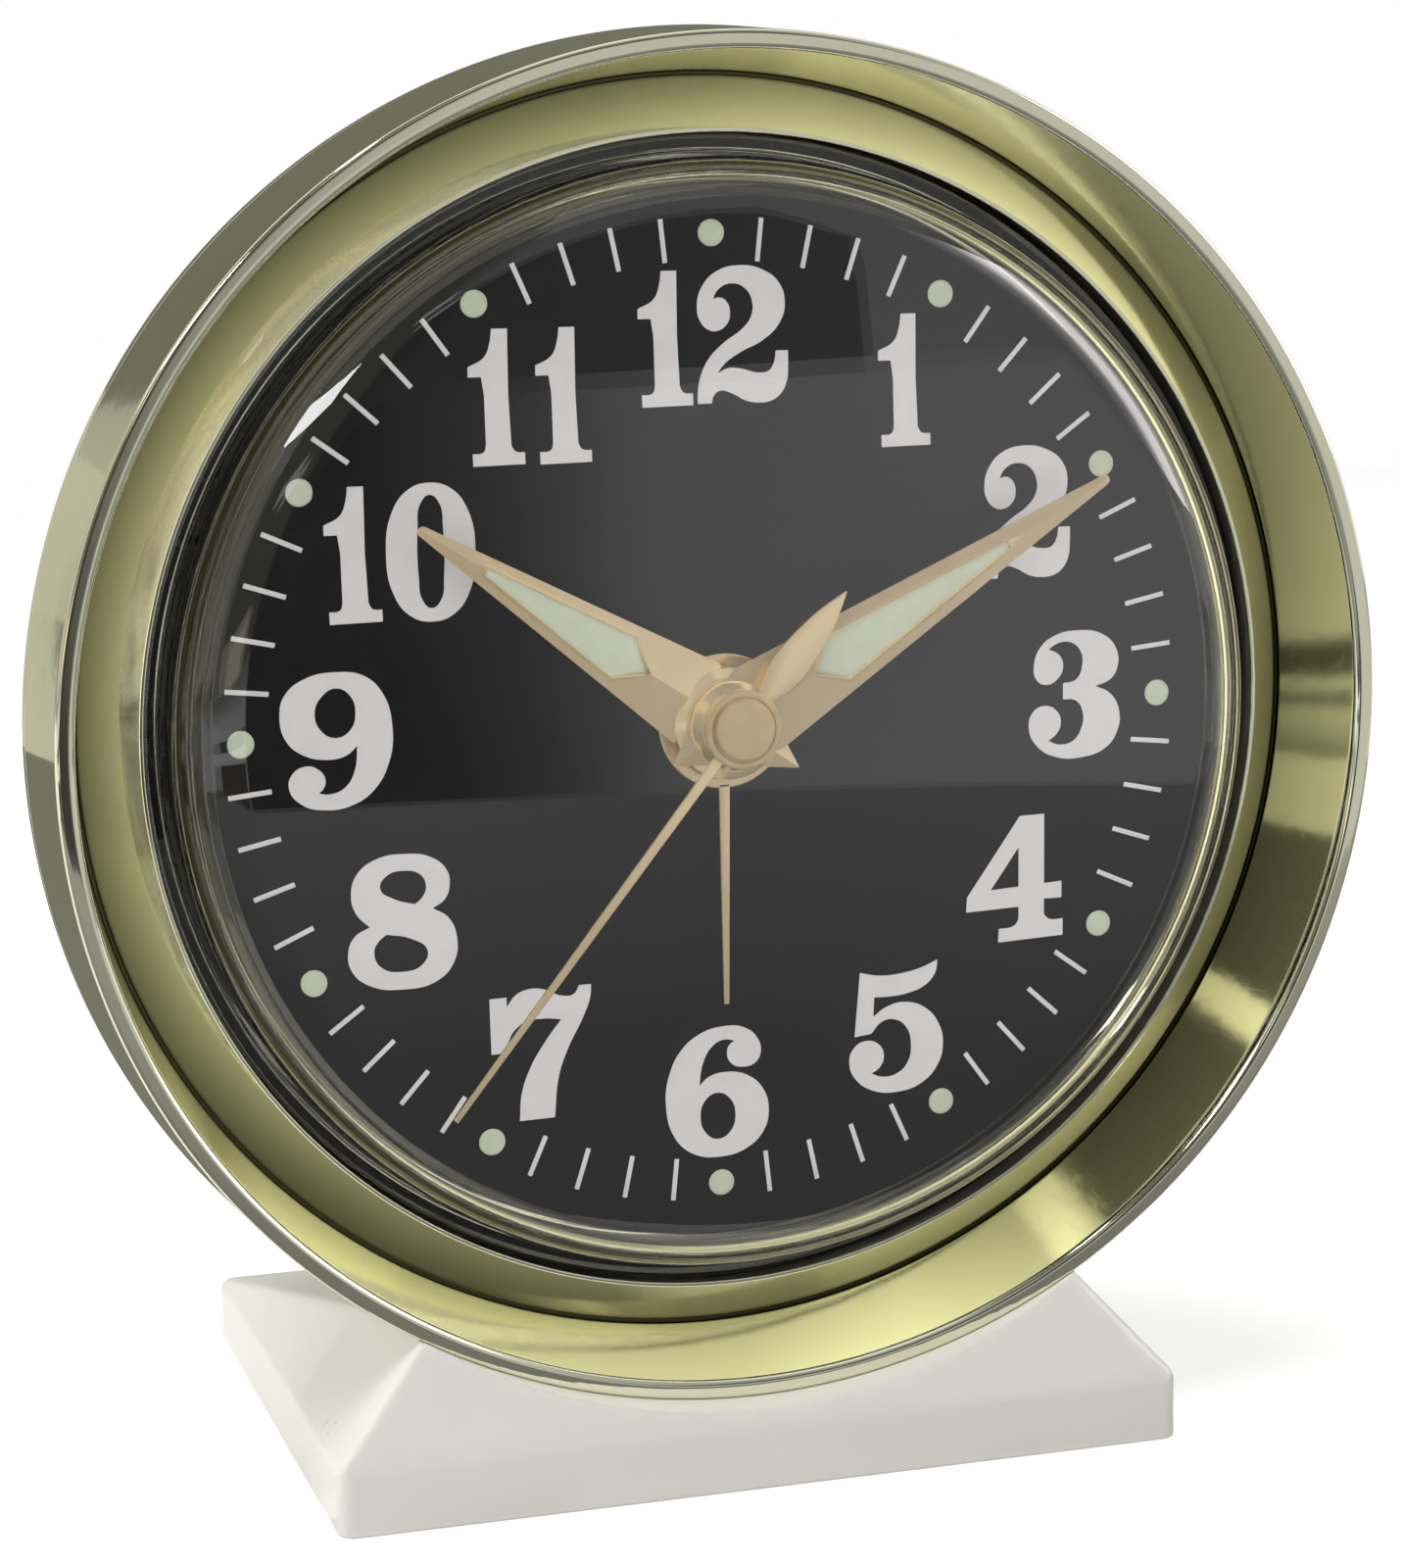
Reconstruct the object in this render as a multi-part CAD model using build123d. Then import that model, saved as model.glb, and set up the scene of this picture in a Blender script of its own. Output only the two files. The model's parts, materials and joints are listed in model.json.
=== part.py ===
from build123d import *
import os
from math import atan2, cos, degrees, hypot, radians, sin, sqrt

# Wind-up alarm clock on a plinth. Millimetres, +Z up, the dial faces -Y,
# and the origin is under the middle of the whole clock, on the table.
# Depths are counted backwards from the dial's face, so what stands in front of it is negative.
# Spots are (right, up) from the dial's centre, seen from the front.

os.makedirs("parts", exist_ok=True)

# Clearances and sheets that many pieces share
running, overrun, arm_overlap, end_shake = 0.05, 1.0, 0.8, 0.1
thin_sheet, thin_wheel, train_sheet, plate_sheet = 0.3, 0.6, 0.8, 1.0
pinion_margin = 0.2


def polar(spot, distance, angle):
    return (spot[0] + distance * cos(radians(angle)), spot[1] + distance * sin(radians(angle)))


def direction(start, end):
    return degrees(atan2(end[1] - start[1], end[0] - start[0]))


def apart(start, end):
    return hypot(end[0] - start[0], end[1] - start[1])


def centres(module, first, second):
    return module * (first + second) / 2


# Dial and hands, in depth
dial_sheet, dot_height = 0.5, 0.12
hand_sheet, hand_ridge, lume_sheet = 0.25, 0.4, 0.35
alarm_hand_gap, hour_hand_gap, minute_hand_gap, second_hand_gap = 1.6, 0.8, 0.65, 1.25
alarm_hand_back = -alarm_hand_gap
hour_hand_back = alarm_hand_back - thin_sheet - hour_hand_gap
minute_hand_back = hour_hand_back - hand_sheet - hand_ridge - minute_hand_gap
second_hand_back = minute_hand_back - hand_sheet - hand_ridge - second_hand_gap
pipe_stand = 0.7
pipe_front, hour_pipe_front = minute_hand_back - pipe_stand, hour_hand_back - pipe_stand
alarm_pipe_front = alarm_hand_back - thin_sheet - end_shake
cap_step, cap_height, cap_crown = 0.3, 1.3, 0.2
cap_floor, cap_front = second_hand_back - thin_sheet - cap_step, second_hand_back - cap_height
seconds_end = cap_front + cap_crown

# Lens, bezel and case, in depth
lens_room, dome_rise, lens_wall, lens_round = 3.0, 2.9, 1.2, 3.0
lens_apex = cap_front - lens_room
lens_corner_depth = lens_apex + dome_rise
rim_setback, rim_rise, rim_depth, rim_round = 1.5, 1.0, 5.1, 0.55
rim_front = lens_apex + rim_setback
side_front, dish_meets_side = rim_front + rim_rise, rim_front + rim_depth
dish_foot_depth, groove_drop, groove_floor = 2.0, 1.0, 0.6
groove_depth = dish_foot_depth + groove_drop
bezel_back = groove_depth + groove_floor
ring_rise, crest_round, lip_drop, lip_sheet, flange_sheet = 4.15, 0.35, 0.25, 0.7, 1.0
ring_crest = groove_depth - ring_rise
lip_front = ring_crest + lip_drop
lip_back = lip_front + lip_sheet
lens_seat = lip_back + flange_sheet
side_back, spigot_length = 2.4, 1.2
spigot_front = side_back - spigot_length
shoulder_gap, shoulder_wall, shoulder_round = 1.3, 1.2, 2.4
shoulder_front = bezel_back + shoulder_gap
shoulder_back = shoulder_front + shoulder_wall

# Motion work behind the dial, in depth
motion_gap, cam_height, leaf_spring_sheet, leaf_gap = 0.25, 0.35, 0.3, 0.1
alarm_wheel_front = dial_sheet + 2 * motion_gap
alarm_pinion_front = alarm_wheel_front - pinion_margin
hour_wheel_front = alarm_wheel_front + thin_wheel + cam_height + motion_gap
leaf_spring_front = hour_wheel_front + thin_wheel + leaf_gap
cannon_teeth_length, plate_gap = 1.0, 0.6
cannon_front = leaf_spring_front + leaf_spring_sheet + 2 * leaf_gap
cannon_back = cannon_front + cannon_teeth_length
minute_wheel_front = cannon_front + pinion_margin
minute_pinion_front = hour_wheel_front - pinion_margin
minute_post_front = minute_pinion_front - pinion_margin
front_plate = cannon_back + plate_gap

# Trains between the plates, in depth
great_gap, great_sheet, ratchet_sheet, wheel_gap, layer_gap = 0.8, 1.2, 0.65, 0.2, 0.7
great_front = front_plate + plate_sheet + great_gap
ratchet_front = great_front + great_sheet + running
centre_wheel_front = ratchet_front + ratchet_sheet + wheel_gap
third_front = centre_wheel_front + train_sheet + layer_gap
seconds_front = third_front + train_sheet + layer_gap
verge_gap = 0.3
verge_front = centre_wheel_front + verge_gap
verge_plate_front = verge_front + train_sheet + verge_gap
spring_gap, escape_gap, fork_gap, roller_gap, hair_gap = 0.9, 1.7, 0.3, 0.6, 0.7
spring_front = seconds_front + train_sheet + spring_gap
escape_sheet, fork_sheet, roller_sheet, balance_sheet, hair_width = 0.7, 0.6, 0.4, 0.9, 0.8
escape_front = seconds_front + train_sheet + escape_gap
fork_front = escape_front + escape_sheet + fork_gap
roller_front = fork_front + fork_sheet + roller_gap
balance_front = roller_front + roller_sheet + roller_gap
hair_front = balance_front + balance_sheet + hair_gap
stud_length = 1.4
rear_plate = hair_front + hair_width + stud_length
spring_width = rear_plate - spring_front - great_gap

# Behind the rear plate, in depth
arm_gap, hammer_arm_sheet, hammer_head_height, bell_height, bell_wall = 1.0, 1.0, 2.0, 2.4, 0.8
hammer_arm_front = rear_plate + plate_sheet + arm_gap
bell_front = hammer_arm_front + end_shake
bell_back = bell_front + bell_height
cover_gap, cover_sheet, cover_recess = 0.3, 1.0, 0.8
cover_front = bell_back + cover_gap
cover_back = cover_front + cover_sheet
cup_back = cover_back + cover_recess
key_gap, key_socket, key_crown, key_rise = 1.0, 4.0, 0.6, 6.1
key_front = cup_back + key_gap
winding_end = key_front + key_socket
key_hub_back = winding_end + key_crown
key_end = key_hub_back + key_rise
key_foot, key_bridge = 2.5, 2.8
key_web_front, key_web_back = key_front + key_foot, key_hub_back + key_bridge
knob_length, knob_crown = 5.0, 2.0
knob_front, knob_end = key_front, key_front + knob_length
setting_end = knob_end - knob_crown
button_gap, button_stroke_room, button_head_height, button_round = 0.5, 3.2, 2.6, 0.8
button_tip = hammer_arm_front + hammer_arm_sheet + button_gap
button_head_front = cover_back + button_stroke_room
button_end = button_head_front + button_head_height
boss_height, regulator_sheet, regulator_stand = 0.9, 0.6, 2.8
regulator_end = cover_back + regulator_stand

# Plinth
base_toe, base_heel = 3.65, 8.9
base_front, base_back = rim_front - base_toe, cup_back + base_heel
base_half_width, base_rim, base_corner, base_edge_round = 32.4, 4.9, 1.2, 0.5
front_slope, side_slope, back_slope = 2.25, 1.13, 0.203
base_wall, saddle_wall, base_rib = 2.0, 1.8, 1.6
base_screw_x, base_screw_radius, base_screw_head, base_screw_head_height = 12.0, 0.9, 2.2, 1.2
base_boss, base_boss_foot, screw_past = 3.2, 1.6, 0.28
drum_lift = 5.1

# Teeth, and the tooth forms: heights in modules, widths in shares of the pitch
wheel_module, great_module, seconds_wheel_module = 0.4, 0.55, 0.375
centre_teeth, third_pinion_teeth = 45, 6
third_teeth, seconds_pinion_teeth = 48, 6
seconds_teeth, escape_pinion_teeth = 48, 6
great_teeth, centre_pinion_teeth = 48, 8
alarm_great_teeth, verge_pinion_teeth = 40, 8
cannon_teeth, minute_teeth, minute_pinion_teeth, hour_teeth = 12, 36, 10, 40
alarm_teeth, setting_teeth = 48, 12
wheel_root, wheel_tip, wheel_root_share, wheel_tip_share = 1.15, 0.95, 0.27, 0.11
pinion_root, pinion_tip, pinion_root_share, pinion_tip_share = 1.35, 0.8, 0.2, 0.12
rim_share, hub_share, arm_share, gap_share = 0.8, 0.26, 0.13, 0.5
great_arms, wheel_arms = 3, 4

# Wheel spots, worked out from the centre distances of their teeth
centre_spot = (0, 0)
third_distance = centres(wheel_module, centre_teeth, third_pinion_teeth)
third_module = 2 * third_distance / (third_teeth + seconds_pinion_teeth)
third_spot = polar(centre_spot, third_distance, 129.6)
escape_spot = polar(centre_spot, centres(seconds_wheel_module, seconds_teeth, escape_pinion_teeth), 54.4)
fork_distance, balance_distance, escapement_angle = 7.0, 14.5, 111.7
fork_spot = polar(escape_spot, fork_distance, escapement_angle)
balance_spot = polar(escape_spot, balance_distance, escapement_angle)
time_distance = centres(great_module, great_teeth, centre_pinion_teeth)
time_reach = great_module * (great_teeth / 2 + wheel_tip)
time_spot = polar(centre_spot, time_distance, -22.8)
train_gap = 1.65
alarm_reach_out = great_module * (alarm_great_teeth / 2 + wheel_tip)
centre_pinion_reach = great_module * (centre_pinion_teeth / 2 + pinion_tip)
alarm_spot = polar(centre_spot, alarm_reach_out + centre_pinion_reach + train_gap, 198.43)
verge_spot = polar(alarm_spot, centres(great_module, alarm_great_teeth, verge_pinion_teeth), 125)
hammer_distance = 6.055
hammer_spot = polar(verge_spot, hammer_distance, 70)
minute_distance = centres(wheel_module, cannon_teeth, minute_teeth)
minute_pinion_module = 2 * minute_distance / (minute_pinion_teeth + hour_teeth)
minute_spot = polar(centre_spot, minute_distance, 15.5)
time_set_spot = polar(minute_spot, centres(wheel_module, minute_teeth, setting_teeth), 48.5)
alarm_set_spot = polar(centre_spot, centres(wheel_module, alarm_teeth, setting_teeth), -90)

# Plates, pillars and screws
pillar_margin, pillar_angles = 2.08, (-39.8, -140.2, 45, 161.9)
pillar_circle = time_distance + time_reach + pillar_margin
pillar_spots = [polar(centre_spot, pillar_circle, angle) for angle in pillar_angles]
pillar_radius, pillar_neck, pillar_neck_length = 2.0, 1.0, 1.8
rivet_radius, rivet_height = 1.6, 0.5
balance_radius, balance_bore, balance_arm_half, balance_hub = 6.6, 5.5, 0.6, 1.4
plate_edge, plate_side_edge, plate_head, plate_foot = 3.3, 1.3, 2.7, 5.0
plate_radius, plate_half_width = pillar_circle + plate_edge, pillar_circle + plate_side_edge
plate_top, plate_bottom = balance_spot[1] + balance_radius + plate_head, pillar_spots[0][1] - plate_foot
standoff_flat, standoff_sides = 4.0, 6
cover_screw, cover_screw_hole, cover_screw_head, cover_screw_head_height = 0.9, 1.1, 1.9, 0.9
cover_screw_length, slot_width = 2.0, 0.5

# Case, bezel, lens and dial as radii, each from the one inside it
cup_gap, cup_wall, cup_taper, ledge_width, ledge_height = 2.9, 1.2, 0.6, 1.0, 1.2
cup_bore = plate_radius + cup_gap
ledge_bore = cup_bore - ledge_width
cup_back_radius = cup_bore + cup_wall
cup_front_radius = cup_back_radius + cup_taper
shoulder_width, side_taper, bezel_sheet, spigot_wall = 11.2, 0.75, 1.7, 0.65
side_back_radius = cup_front_radius + shoulder_width
side_front_radius = side_back_radius - side_taper
spigot_radius = side_back_radius - bezel_sheet
spigot_inner = spigot_radius - spigot_wall
rim_land, dish_lean, groove_slant, groove_width, groove_sheet = 0.65, 1.9, 0.25, 0.6, 0.8
rim_crown = side_front_radius - rim_land
dish_foot = rim_crown - dish_lean
groove_outer = dish_foot - groove_slant
groove_inner = groove_outer - groove_width
ring_run, crest_land, lip_width = 3.15, 0.7, 0.8
ring_crest_radius = groove_inner - ring_run
lip_step = ring_crest_radius - crest_land
lip_radius = lip_step - lip_width
lens_gap, lens_lean, seat_inset, dial_gap = 0.2, 1.0, 0.1, 0.4
lens_flange, lens_foot = ring_crest_radius - lens_gap, lip_radius - lens_gap
lens_corner = lens_foot - lens_lean
lens_seat_inner, lens_seat_outer = lip_radius, lens_flange - seat_inset
dial_radius, dial_bore = lens_foot - lens_wall - dial_gap, 2.6
dot_inset, dot_radius = 4.3, 1.0
dot_circle = dial_radius - dot_inset
foot_inset, foot_radius, foot_angles = 7.2, 1.0, (60, 180, 300)
foot_circle = pillar_circle - foot_inset
hours = 12

# The case's lowest line sets the axis, and the keys' ends and the plinth's toe set the middle
axis_height = side_back_radius + drum_lift
dial_y = -(base_front + key_end) / 2
base_screw_depth = (side_back + shoulder_back) / 2 - motion_gap
base_screw_end = axis_height - sqrt(spigot_inner**2 - base_screw_x**2) + screw_past

# Hands, as lengths from the centre
hour_direction, minute_direction, second_direction, alarm_direction = 303.5, 60.0, 218.7, 180.0
hour_short, minute_short, second_short, alarm_short = 8.1, 1.4, 0.5, 14.2
hour_reach, hour_shoulder, hour_half, hour_tail = dot_circle - hour_short, 3.2, 3.4, 6.4
hour_window_short, hour_window_foot, hour_window_half, hour_window_heel = 5.8, 9.5, 1.75, 7.2
hour_window_tip = hour_reach - hour_window_short
minute_reach, minute_shoulder, minute_half, minute_tail = dot_circle - minute_short, 3.0, 3.5, 5.4
minute_window_short, minute_window_foot, minute_window_half, minute_window_heel = 9.3, 9.2, 1.9, 7.0
minute_window_tip = minute_reach - minute_window_short
window_tip_half = 0.3
second_reach, second_tail = dot_circle - second_short, 12.4
second_root_half, second_tip_half = 0.42, 0.2
leaf_half, leaf_at, barb_at, barb_half = 1.3, 7.2, 10.4, 0.55
alarm_reach = dot_circle - alarm_short
alarm_bar_half, alarm_tip_half, alarm_disc = 0.42, 0.2, 3.45
cap_ring, cap_ring_bore, cap_knob = 2.65, 2.3, 2.15

# Arbors and pipes
arbor, arbor_pivot = 0.6, 0.4
seconds_arbor, seconds_pivot = 0.45, 0.35
centre_tube, cannon_wall, pipe_sheet = 1.0, 0.3, 0.45
cannon_pipe = centre_tube + cannon_wall
hour_pipe = cannon_pipe + running + pipe_sheet
alarm_pipe = hour_pipe + running + pipe_sheet
winding_arbor, winding_pivot, winding_hole, winding_collar = 1.5, 1.0, 2.0, 2.4
setting_arbor, setting_hole = 0.8, 1.2
minute_post = 0.8
cam_inner, cam_outer, cam_gap = 5.2, 6.4, 30

# Winding work
ratchet_teeth, ratchet_tip, ratchet_root, ratchet_face_share = 12, 4.5, 3.7, 0.04
click_pivot_distance, click_rivet, click_hub, click_lift = 7.6, 0.5, 1.1, 0.12
click_reach_angle, click_gap_angle, click_half, click_nose_half = 40, 45.4, 0.55, 0.15
spring_sheet, spring_coils, hair_sheet, hair_coils = 0.45, 4, 0.15, 4
time_spring_radius, alarm_spring_radius = 11.3, 9.4
key_hub, key_bore, key_wing, key_lobe, key_sheet, key_eye = 2.7, 1.2, 5.2, 4.4, 1.8, 1.5

# Escapement, balance and regulator
escape_teeth, escape_tip, escape_root = 15, 4.6, 3.7
escape_corner_shares = ((escape_root, -0.2), (escape_tip, 0.0), (escape_tip, 0.06), (escape_root, 0.3))
escape_rim, escape_hub, escape_arm = 3.1, 1.3, 0.7
pallet_pin, pallet_margin, pallet_span = 0.25, 0.1, 36
fork_hub, fork_arm_half, fork_horn, fork_slot_half, fork_mouth = 1.0, 0.4, 0.95, 0.35, 0.9
staff, staff_pivot, collet, roller = 0.5, 0.3, 1.0, 1.6
impulse_pin, impulse_circle, impulse_room = 0.25, 1.3, 0.25
fork_reach = balance_distance - fork_distance - impulse_circle - impulse_pin - impulse_room
hair_radius, stud_radius = 5.0, 0.6
boss_radius, regulator_ring, regulator_reach, regulator_half = 1.6, 2.8, 10.0, 0.8
regulator_post, regulator_swing, regulator_room = 0.8, 22, 0.2

# Alarm striking work
verge_teeth, verge_tip, verge_root = 20, 4.4, 3.5
verge_corner_shares = ((verge_root, -0.28), (verge_tip, -0.08), (verge_tip, 0.08), (verge_root, 0.28))
verge_pin, verge_margin, verge_span, verge_plate_half = 0.35, 0.12, 27, 0.7
bell_radius, bell_post, bell_nut, bell_round, bell_gap = 9.0, 1.2, 1.9, 1.4, 2.74
bell_spot = polar(centre_spot, cup_bore - bell_gap - bell_radius, 123.07)
hammer_head, hammer_arm_half, strike_gap, tail_length = 1.6, 0.8, 0.47, 8.34
hammer_head_spot = polar(bell_spot, bell_radius + hammer_head + strike_gap, 198.4)
hammer_tail_spot = polar(hammer_spot, tail_length, 254.7)
button_rod, button_head, tail_gap = 1.2, 2.6, 0.08
button_spot = polar(hammer_tail_spot, hammer_arm_half + button_rod + tail_gap, 149.7)
knob_radius, knob_ribs, knob_groove = 4.2, 14, 0.35
knob_valley = knob_radius - knob_groove
knob_corner_shares = ((knob_valley, -0.3), (knob_radius, -0.2), (knob_radius, 0.2), (knob_valley, 0.3))
leaf_spring_half, leaf_slot_half = 1.2, 1.6
lock_rivet_spot, lock_pad, lock_spacer = (-13.0, 6.0), 2.2, 1.2


def lathe_plane(spot):
    return Plane(origin=(spot[0], dial_y, axis_height + spot[1]), x_dir=(1, 0, 0), z_dir=(0, 0, 1))


def front_plane(spot, depth):
    return Plane(origin=(spot[0], dial_y + depth, axis_height + spot[1]), x_dir=(1, 0, 0), z_dir=(0, -1, 0))


def slab(sketch, spot, front, back):
    return extrude(front_plane(spot, back) * sketch, amount=back - front)


def turned(face, spot=(0, 0)):
    return revolve(lathe_plane(spot) * face, Axis((spot[0], dial_y, axis_height + spot[1]), (0, 1, 0)), 360)


def rod(spot, radius, front, back):
    return slab(Circle(radius), spot, front, back)


def tube(spot, radius, bore, front, back):
    return slab(Circle(radius) - Circle(bore), spot, front, back)


def softened(face, corners, radius):
    picked = [min(face.vertices(), key=lambda v: hypot(v.X - x, v.Y - y)) for x, y in corners]
    return fillet(picked, radius)


def blade(points):
    return make_face(Polyline(*points, close=True))


def save(shape, node):
    export_step(shape, f"parts/{node}.step")


def toothed(corners, teeth, phase):
    # corners holds (radius, share of the pitch) for one tooth, in turning order
    pitch = 360 / teeth
    points = []
    for tooth in range(teeth):
        for radius, share in corners:
            points.append(polar((0, 0), radius, phase + (tooth + share) * pitch))
    return blade(points)


def wheel_face(teeth, module, phase):
    pitch_radius = teeth * module / 2
    root, tip = pitch_radius - wheel_root * module, pitch_radius + wheel_tip * module
    corners = (
        (root, -wheel_root_share),
        (tip, -wheel_tip_share),
        (tip, wheel_tip_share),
        (root, wheel_root_share),
    )
    return toothed(corners, teeth, phase)


def pinion_face(teeth, module, phase):
    pitch_radius = teeth * module / 2
    root, tip = pitch_radius - pinion_root * module, pitch_radius + pinion_tip * module
    corners = (
        (root, -pinion_root_share),
        (tip, -pinion_tip_share),
        (tip, pinion_tip_share),
        (root, pinion_root_share),
    )
    return toothed(corners, teeth, phase)


def crossed(face, root_radius, arms, start=0):
    # Opens the web of a wheel between its arms
    window = Circle(root_radius * rim_share) - Circle(root_radius * hub_share)
    for arm in range(arms):
        bar = Pos(root_radius / 2, 0) * Rectangle(root_radius, root_radius * arm_share)
        window -= Rot(0, 0, start + arm * 360 / arms) * bar
    return face - window


def meshed_phase(own_spot, own_teeth, other_spot, other_teeth, other_phase):
    # The phase at which a wheel's teeth stand in the gaps of the other's
    line = direction(other_spot, own_spot)
    offset = ((line - other_phase) * other_teeth / 360) % 1
    return line + 180 - (gap_share - offset) * 360 / own_teeth


centre_phase = 0
third_pinion_phase = meshed_phase(third_spot, third_pinion_teeth, centre_spot, centre_teeth, centre_phase)
third_phase = 3
seconds_pinion_phase = meshed_phase(centre_spot, seconds_pinion_teeth, third_spot, third_teeth, third_phase)
seconds_phase = 0
escape_pinion_phase = meshed_phase(
    escape_spot, escape_pinion_teeth, centre_spot, seconds_teeth, seconds_phase
)
great_phase = 0
centre_pinion_phase = meshed_phase(centre_spot, centre_pinion_teeth, time_spot, great_teeth, great_phase)
verge_pinion_phase = meshed_phase(
    verge_spot, verge_pinion_teeth, alarm_spot, alarm_great_teeth, great_phase
)
cannon_phase = 0
minute_phase = meshed_phase(minute_spot, minute_teeth, centre_spot, cannon_teeth, cannon_phase)
minute_pinion_phase = 0
hour_phase = meshed_phase(centre_spot, hour_teeth, minute_spot, minute_pinion_teeth, minute_pinion_phase)
time_set_phase = meshed_phase(time_set_spot, setting_teeth, minute_spot, minute_teeth, minute_phase)
alarm_phase = 0
alarm_set_phase = meshed_phase(alarm_set_spot, setting_teeth, centre_spot, alarm_teeth, alarm_phase)


# Bezel: one pressed shell with the side wall, the dish, the groove, the rising ring and the lip
def bezel():
    face = blade(
        (
            (spigot_radius, side_back),
            (side_back_radius, side_back),
            (side_front_radius, side_front),
            (side_front_radius, rim_front),
            (rim_crown, rim_front),
            (dish_foot, dish_foot_depth),
            (groove_outer, groove_depth),
            (groove_inner, groove_depth),
            (ring_crest_radius, ring_crest),
            (lip_step, ring_crest),
            (lip_step, lip_front),
            (lip_radius, lip_front),
            (lip_radius, lip_back),
            (ring_crest_radius, lip_back),
            (groove_inner - groove_sheet / 2, bezel_back),
            (dish_foot + groove_sheet / 2, bezel_back),
            (spigot_radius, dish_meets_side),
        )
    )
    face = softened(face, ((side_front_radius, rim_front),), rim_round)
    face = softened(face, ((ring_crest_radius, ring_crest),), crest_round)
    return turned(face)


# Case: the cup for the movement, its shoulder and the seat that holds the lens
def case():
    face = blade(
        (
            (spigot_inner, spigot_front),
            (spigot_radius, spigot_front),
            (spigot_radius, side_back),
            (side_back_radius, side_back),
            (side_back_radius, shoulder_back),
            (cup_front_radius, shoulder_back),
            (cup_back_radius, cup_back),
            (cup_bore, cup_back),
            (cup_bore, cover_front),
            (ledge_bore, cover_front),
            (ledge_bore, cover_front - ledge_height),
            (cup_bore, cover_front - 2 * ledge_height),
            (cup_bore, shoulder_front),
            (lens_seat_inner, shoulder_front),
            (lens_seat_inner, lens_seat),
            (lens_seat_outer, lens_seat),
            (lens_seat_outer, shoulder_front),
            (spigot_inner, shoulder_front),
        )
    )
    face = softened(face, ((side_back_radius, shoulder_back),), shoulder_round)
    body = turned(face)
    for side in (-1, 1):
        body -= base_screw(side)
    return body


# What the clock's drum takes out of the plinth, grown by a margin
def drum_room(margin):
    wide, narrow = side_back_radius + margin, side_front_radius + margin
    back = shoulder_back + margin
    face = blade(
        (
            (0, 2 * base_front),
            (narrow, 2 * base_front),
            (narrow, side_front),
            (wide, side_back),
            (wide, back),
            (0, back),
        )
    )
    return turned(softened(face, ((wide, back),), shoulder_round))


# The plinth's outside or, moved inwards by a wall, its hollow
def hip_roof(wall):
    front, back, half = dial_y + base_front + wall, dial_y + base_back - wall, base_half_width - wall
    drop = wall if wall else 0
    rim = base_rim - drop
    crest_y = front + (back - front) * back_slope / (front_slope + back_slope)
    crest = rim + (crest_y - front) * front_slope
    side = blade(((front, 0), (back, 0), (back, rim), (crest_y, crest), (front, rim)))
    side = softened(side, ((front, rim), (back, rim)), base_edge_round)
    run = (crest - rim) / side_slope
    across = blade(
        ((-half, 0), (half, 0), (half, rim), (half - run, crest), (run - half, crest), (-half, rim))
    )
    across = softened(across, ((half, rim), (-half, rim)), base_edge_round)
    prism = extrude(Plane(origin=(-half, 0, 0), x_dir=(0, 1, 0), z_dir=(1, 0, 0)) * side, amount=2 * half)
    back_plane = Plane(origin=(0, back, 0), x_dir=(1, 0, 0), z_dir=(0, -1, 0))
    wedge = extrude(back_plane * across, amount=back - front)
    footprint = Pos(0, (front + back) / 2) * RectangleRounded(2 * half, back - front, base_corner)
    return prism & wedge & extrude(footprint, amount=crest)


def base_screw_place(side):
    return side * base_screw_x, dial_y + base_screw_depth


def upright(side, radius, low, high):
    return extrude(Plane(origin=(*base_screw_place(side), low)) * Circle(radius), amount=high - low)


def base_screw(side):
    head = upright(side, base_screw_head, base_boss_foot - base_screw_head_height, base_boss_foot)
    return head + upright(side, base_screw_radius, base_boss_foot, base_screw_end)


def base():
    body = hip_roof(0)
    hollow = hip_roof(base_wall) - drum_room(saddle_wall)
    ribs = Box(base_rib, 2 * base_back, 2 * base_back) + Box(2 * base_back, base_rib, 2 * base_back)
    hollow -= ribs
    for side in (-1, 1):
        hollow -= upright(side, base_boss, base_boss_foot, base_screw_end)
    body = body - hollow - drum_room(0)
    for side in (-1, 1):
        body -= base_screw(side)
    return body


def base_screws():
    screws = [base_screw(side) for side in (-1, 1)]
    return Compound(children=screws)


# Lens: a flange, a steep shoulder and a shallow dome, one wall thick
def lens():
    inner_apex = lens_apex + lens_wall
    inner_corner = (lens_corner - lens_wall, lens_corner_depth + lens_wall)
    inner_foot = (lens_foot - lens_wall, lens_seat)
    flange = Polyline(
        inner_foot,
        (lens_flange, lens_seat),
        (lens_flange, lip_back),
        (lens_foot, lip_back),
        (lens_corner, lens_corner_depth),
    )
    sag = lens_corner_depth - lens_apex
    dome_radius = (lens_corner**2 + sag**2) / (2 * sag)
    half_way = lens_corner / 2
    outer_middle = (half_way, lens_apex + dome_radius - sqrt(dome_radius**2 - half_way**2))
    outer = ThreePointArc((lens_corner, lens_corner_depth), outer_middle, (0, lens_apex))
    axis = Line((0, lens_apex), (0, inner_apex))
    inner_sag = inner_corner[1] - inner_apex
    inner_radius = (inner_corner[0] ** 2 + inner_sag**2) / (2 * inner_sag)
    half_way = inner_corner[0] / 2
    inner_middle = (half_way, inner_apex + inner_radius - sqrt(inner_radius**2 - half_way**2))
    inner = ThreePointArc((0, inner_apex), inner_middle, inner_corner)
    wall = Line(inner_corner, inner_foot)
    face = make_face([*flange.edges(), *outer.edges(), *axis.edges(), *inner.edges(), *wall.edges()])
    face = softened(face, ((lens_corner, lens_corner_depth),), lens_round)
    face = softened(face, (inner_corner,), lens_round - lens_wall)
    return turned(face)


def dial():
    body = tube(centre_spot, dial_radius, dial_bore, 0, dial_sheet)
    for angle in foot_angles:
        body += rod(polar(centre_spot, foot_circle, angle), foot_radius, dial_sheet, front_plate)
    return body


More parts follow.
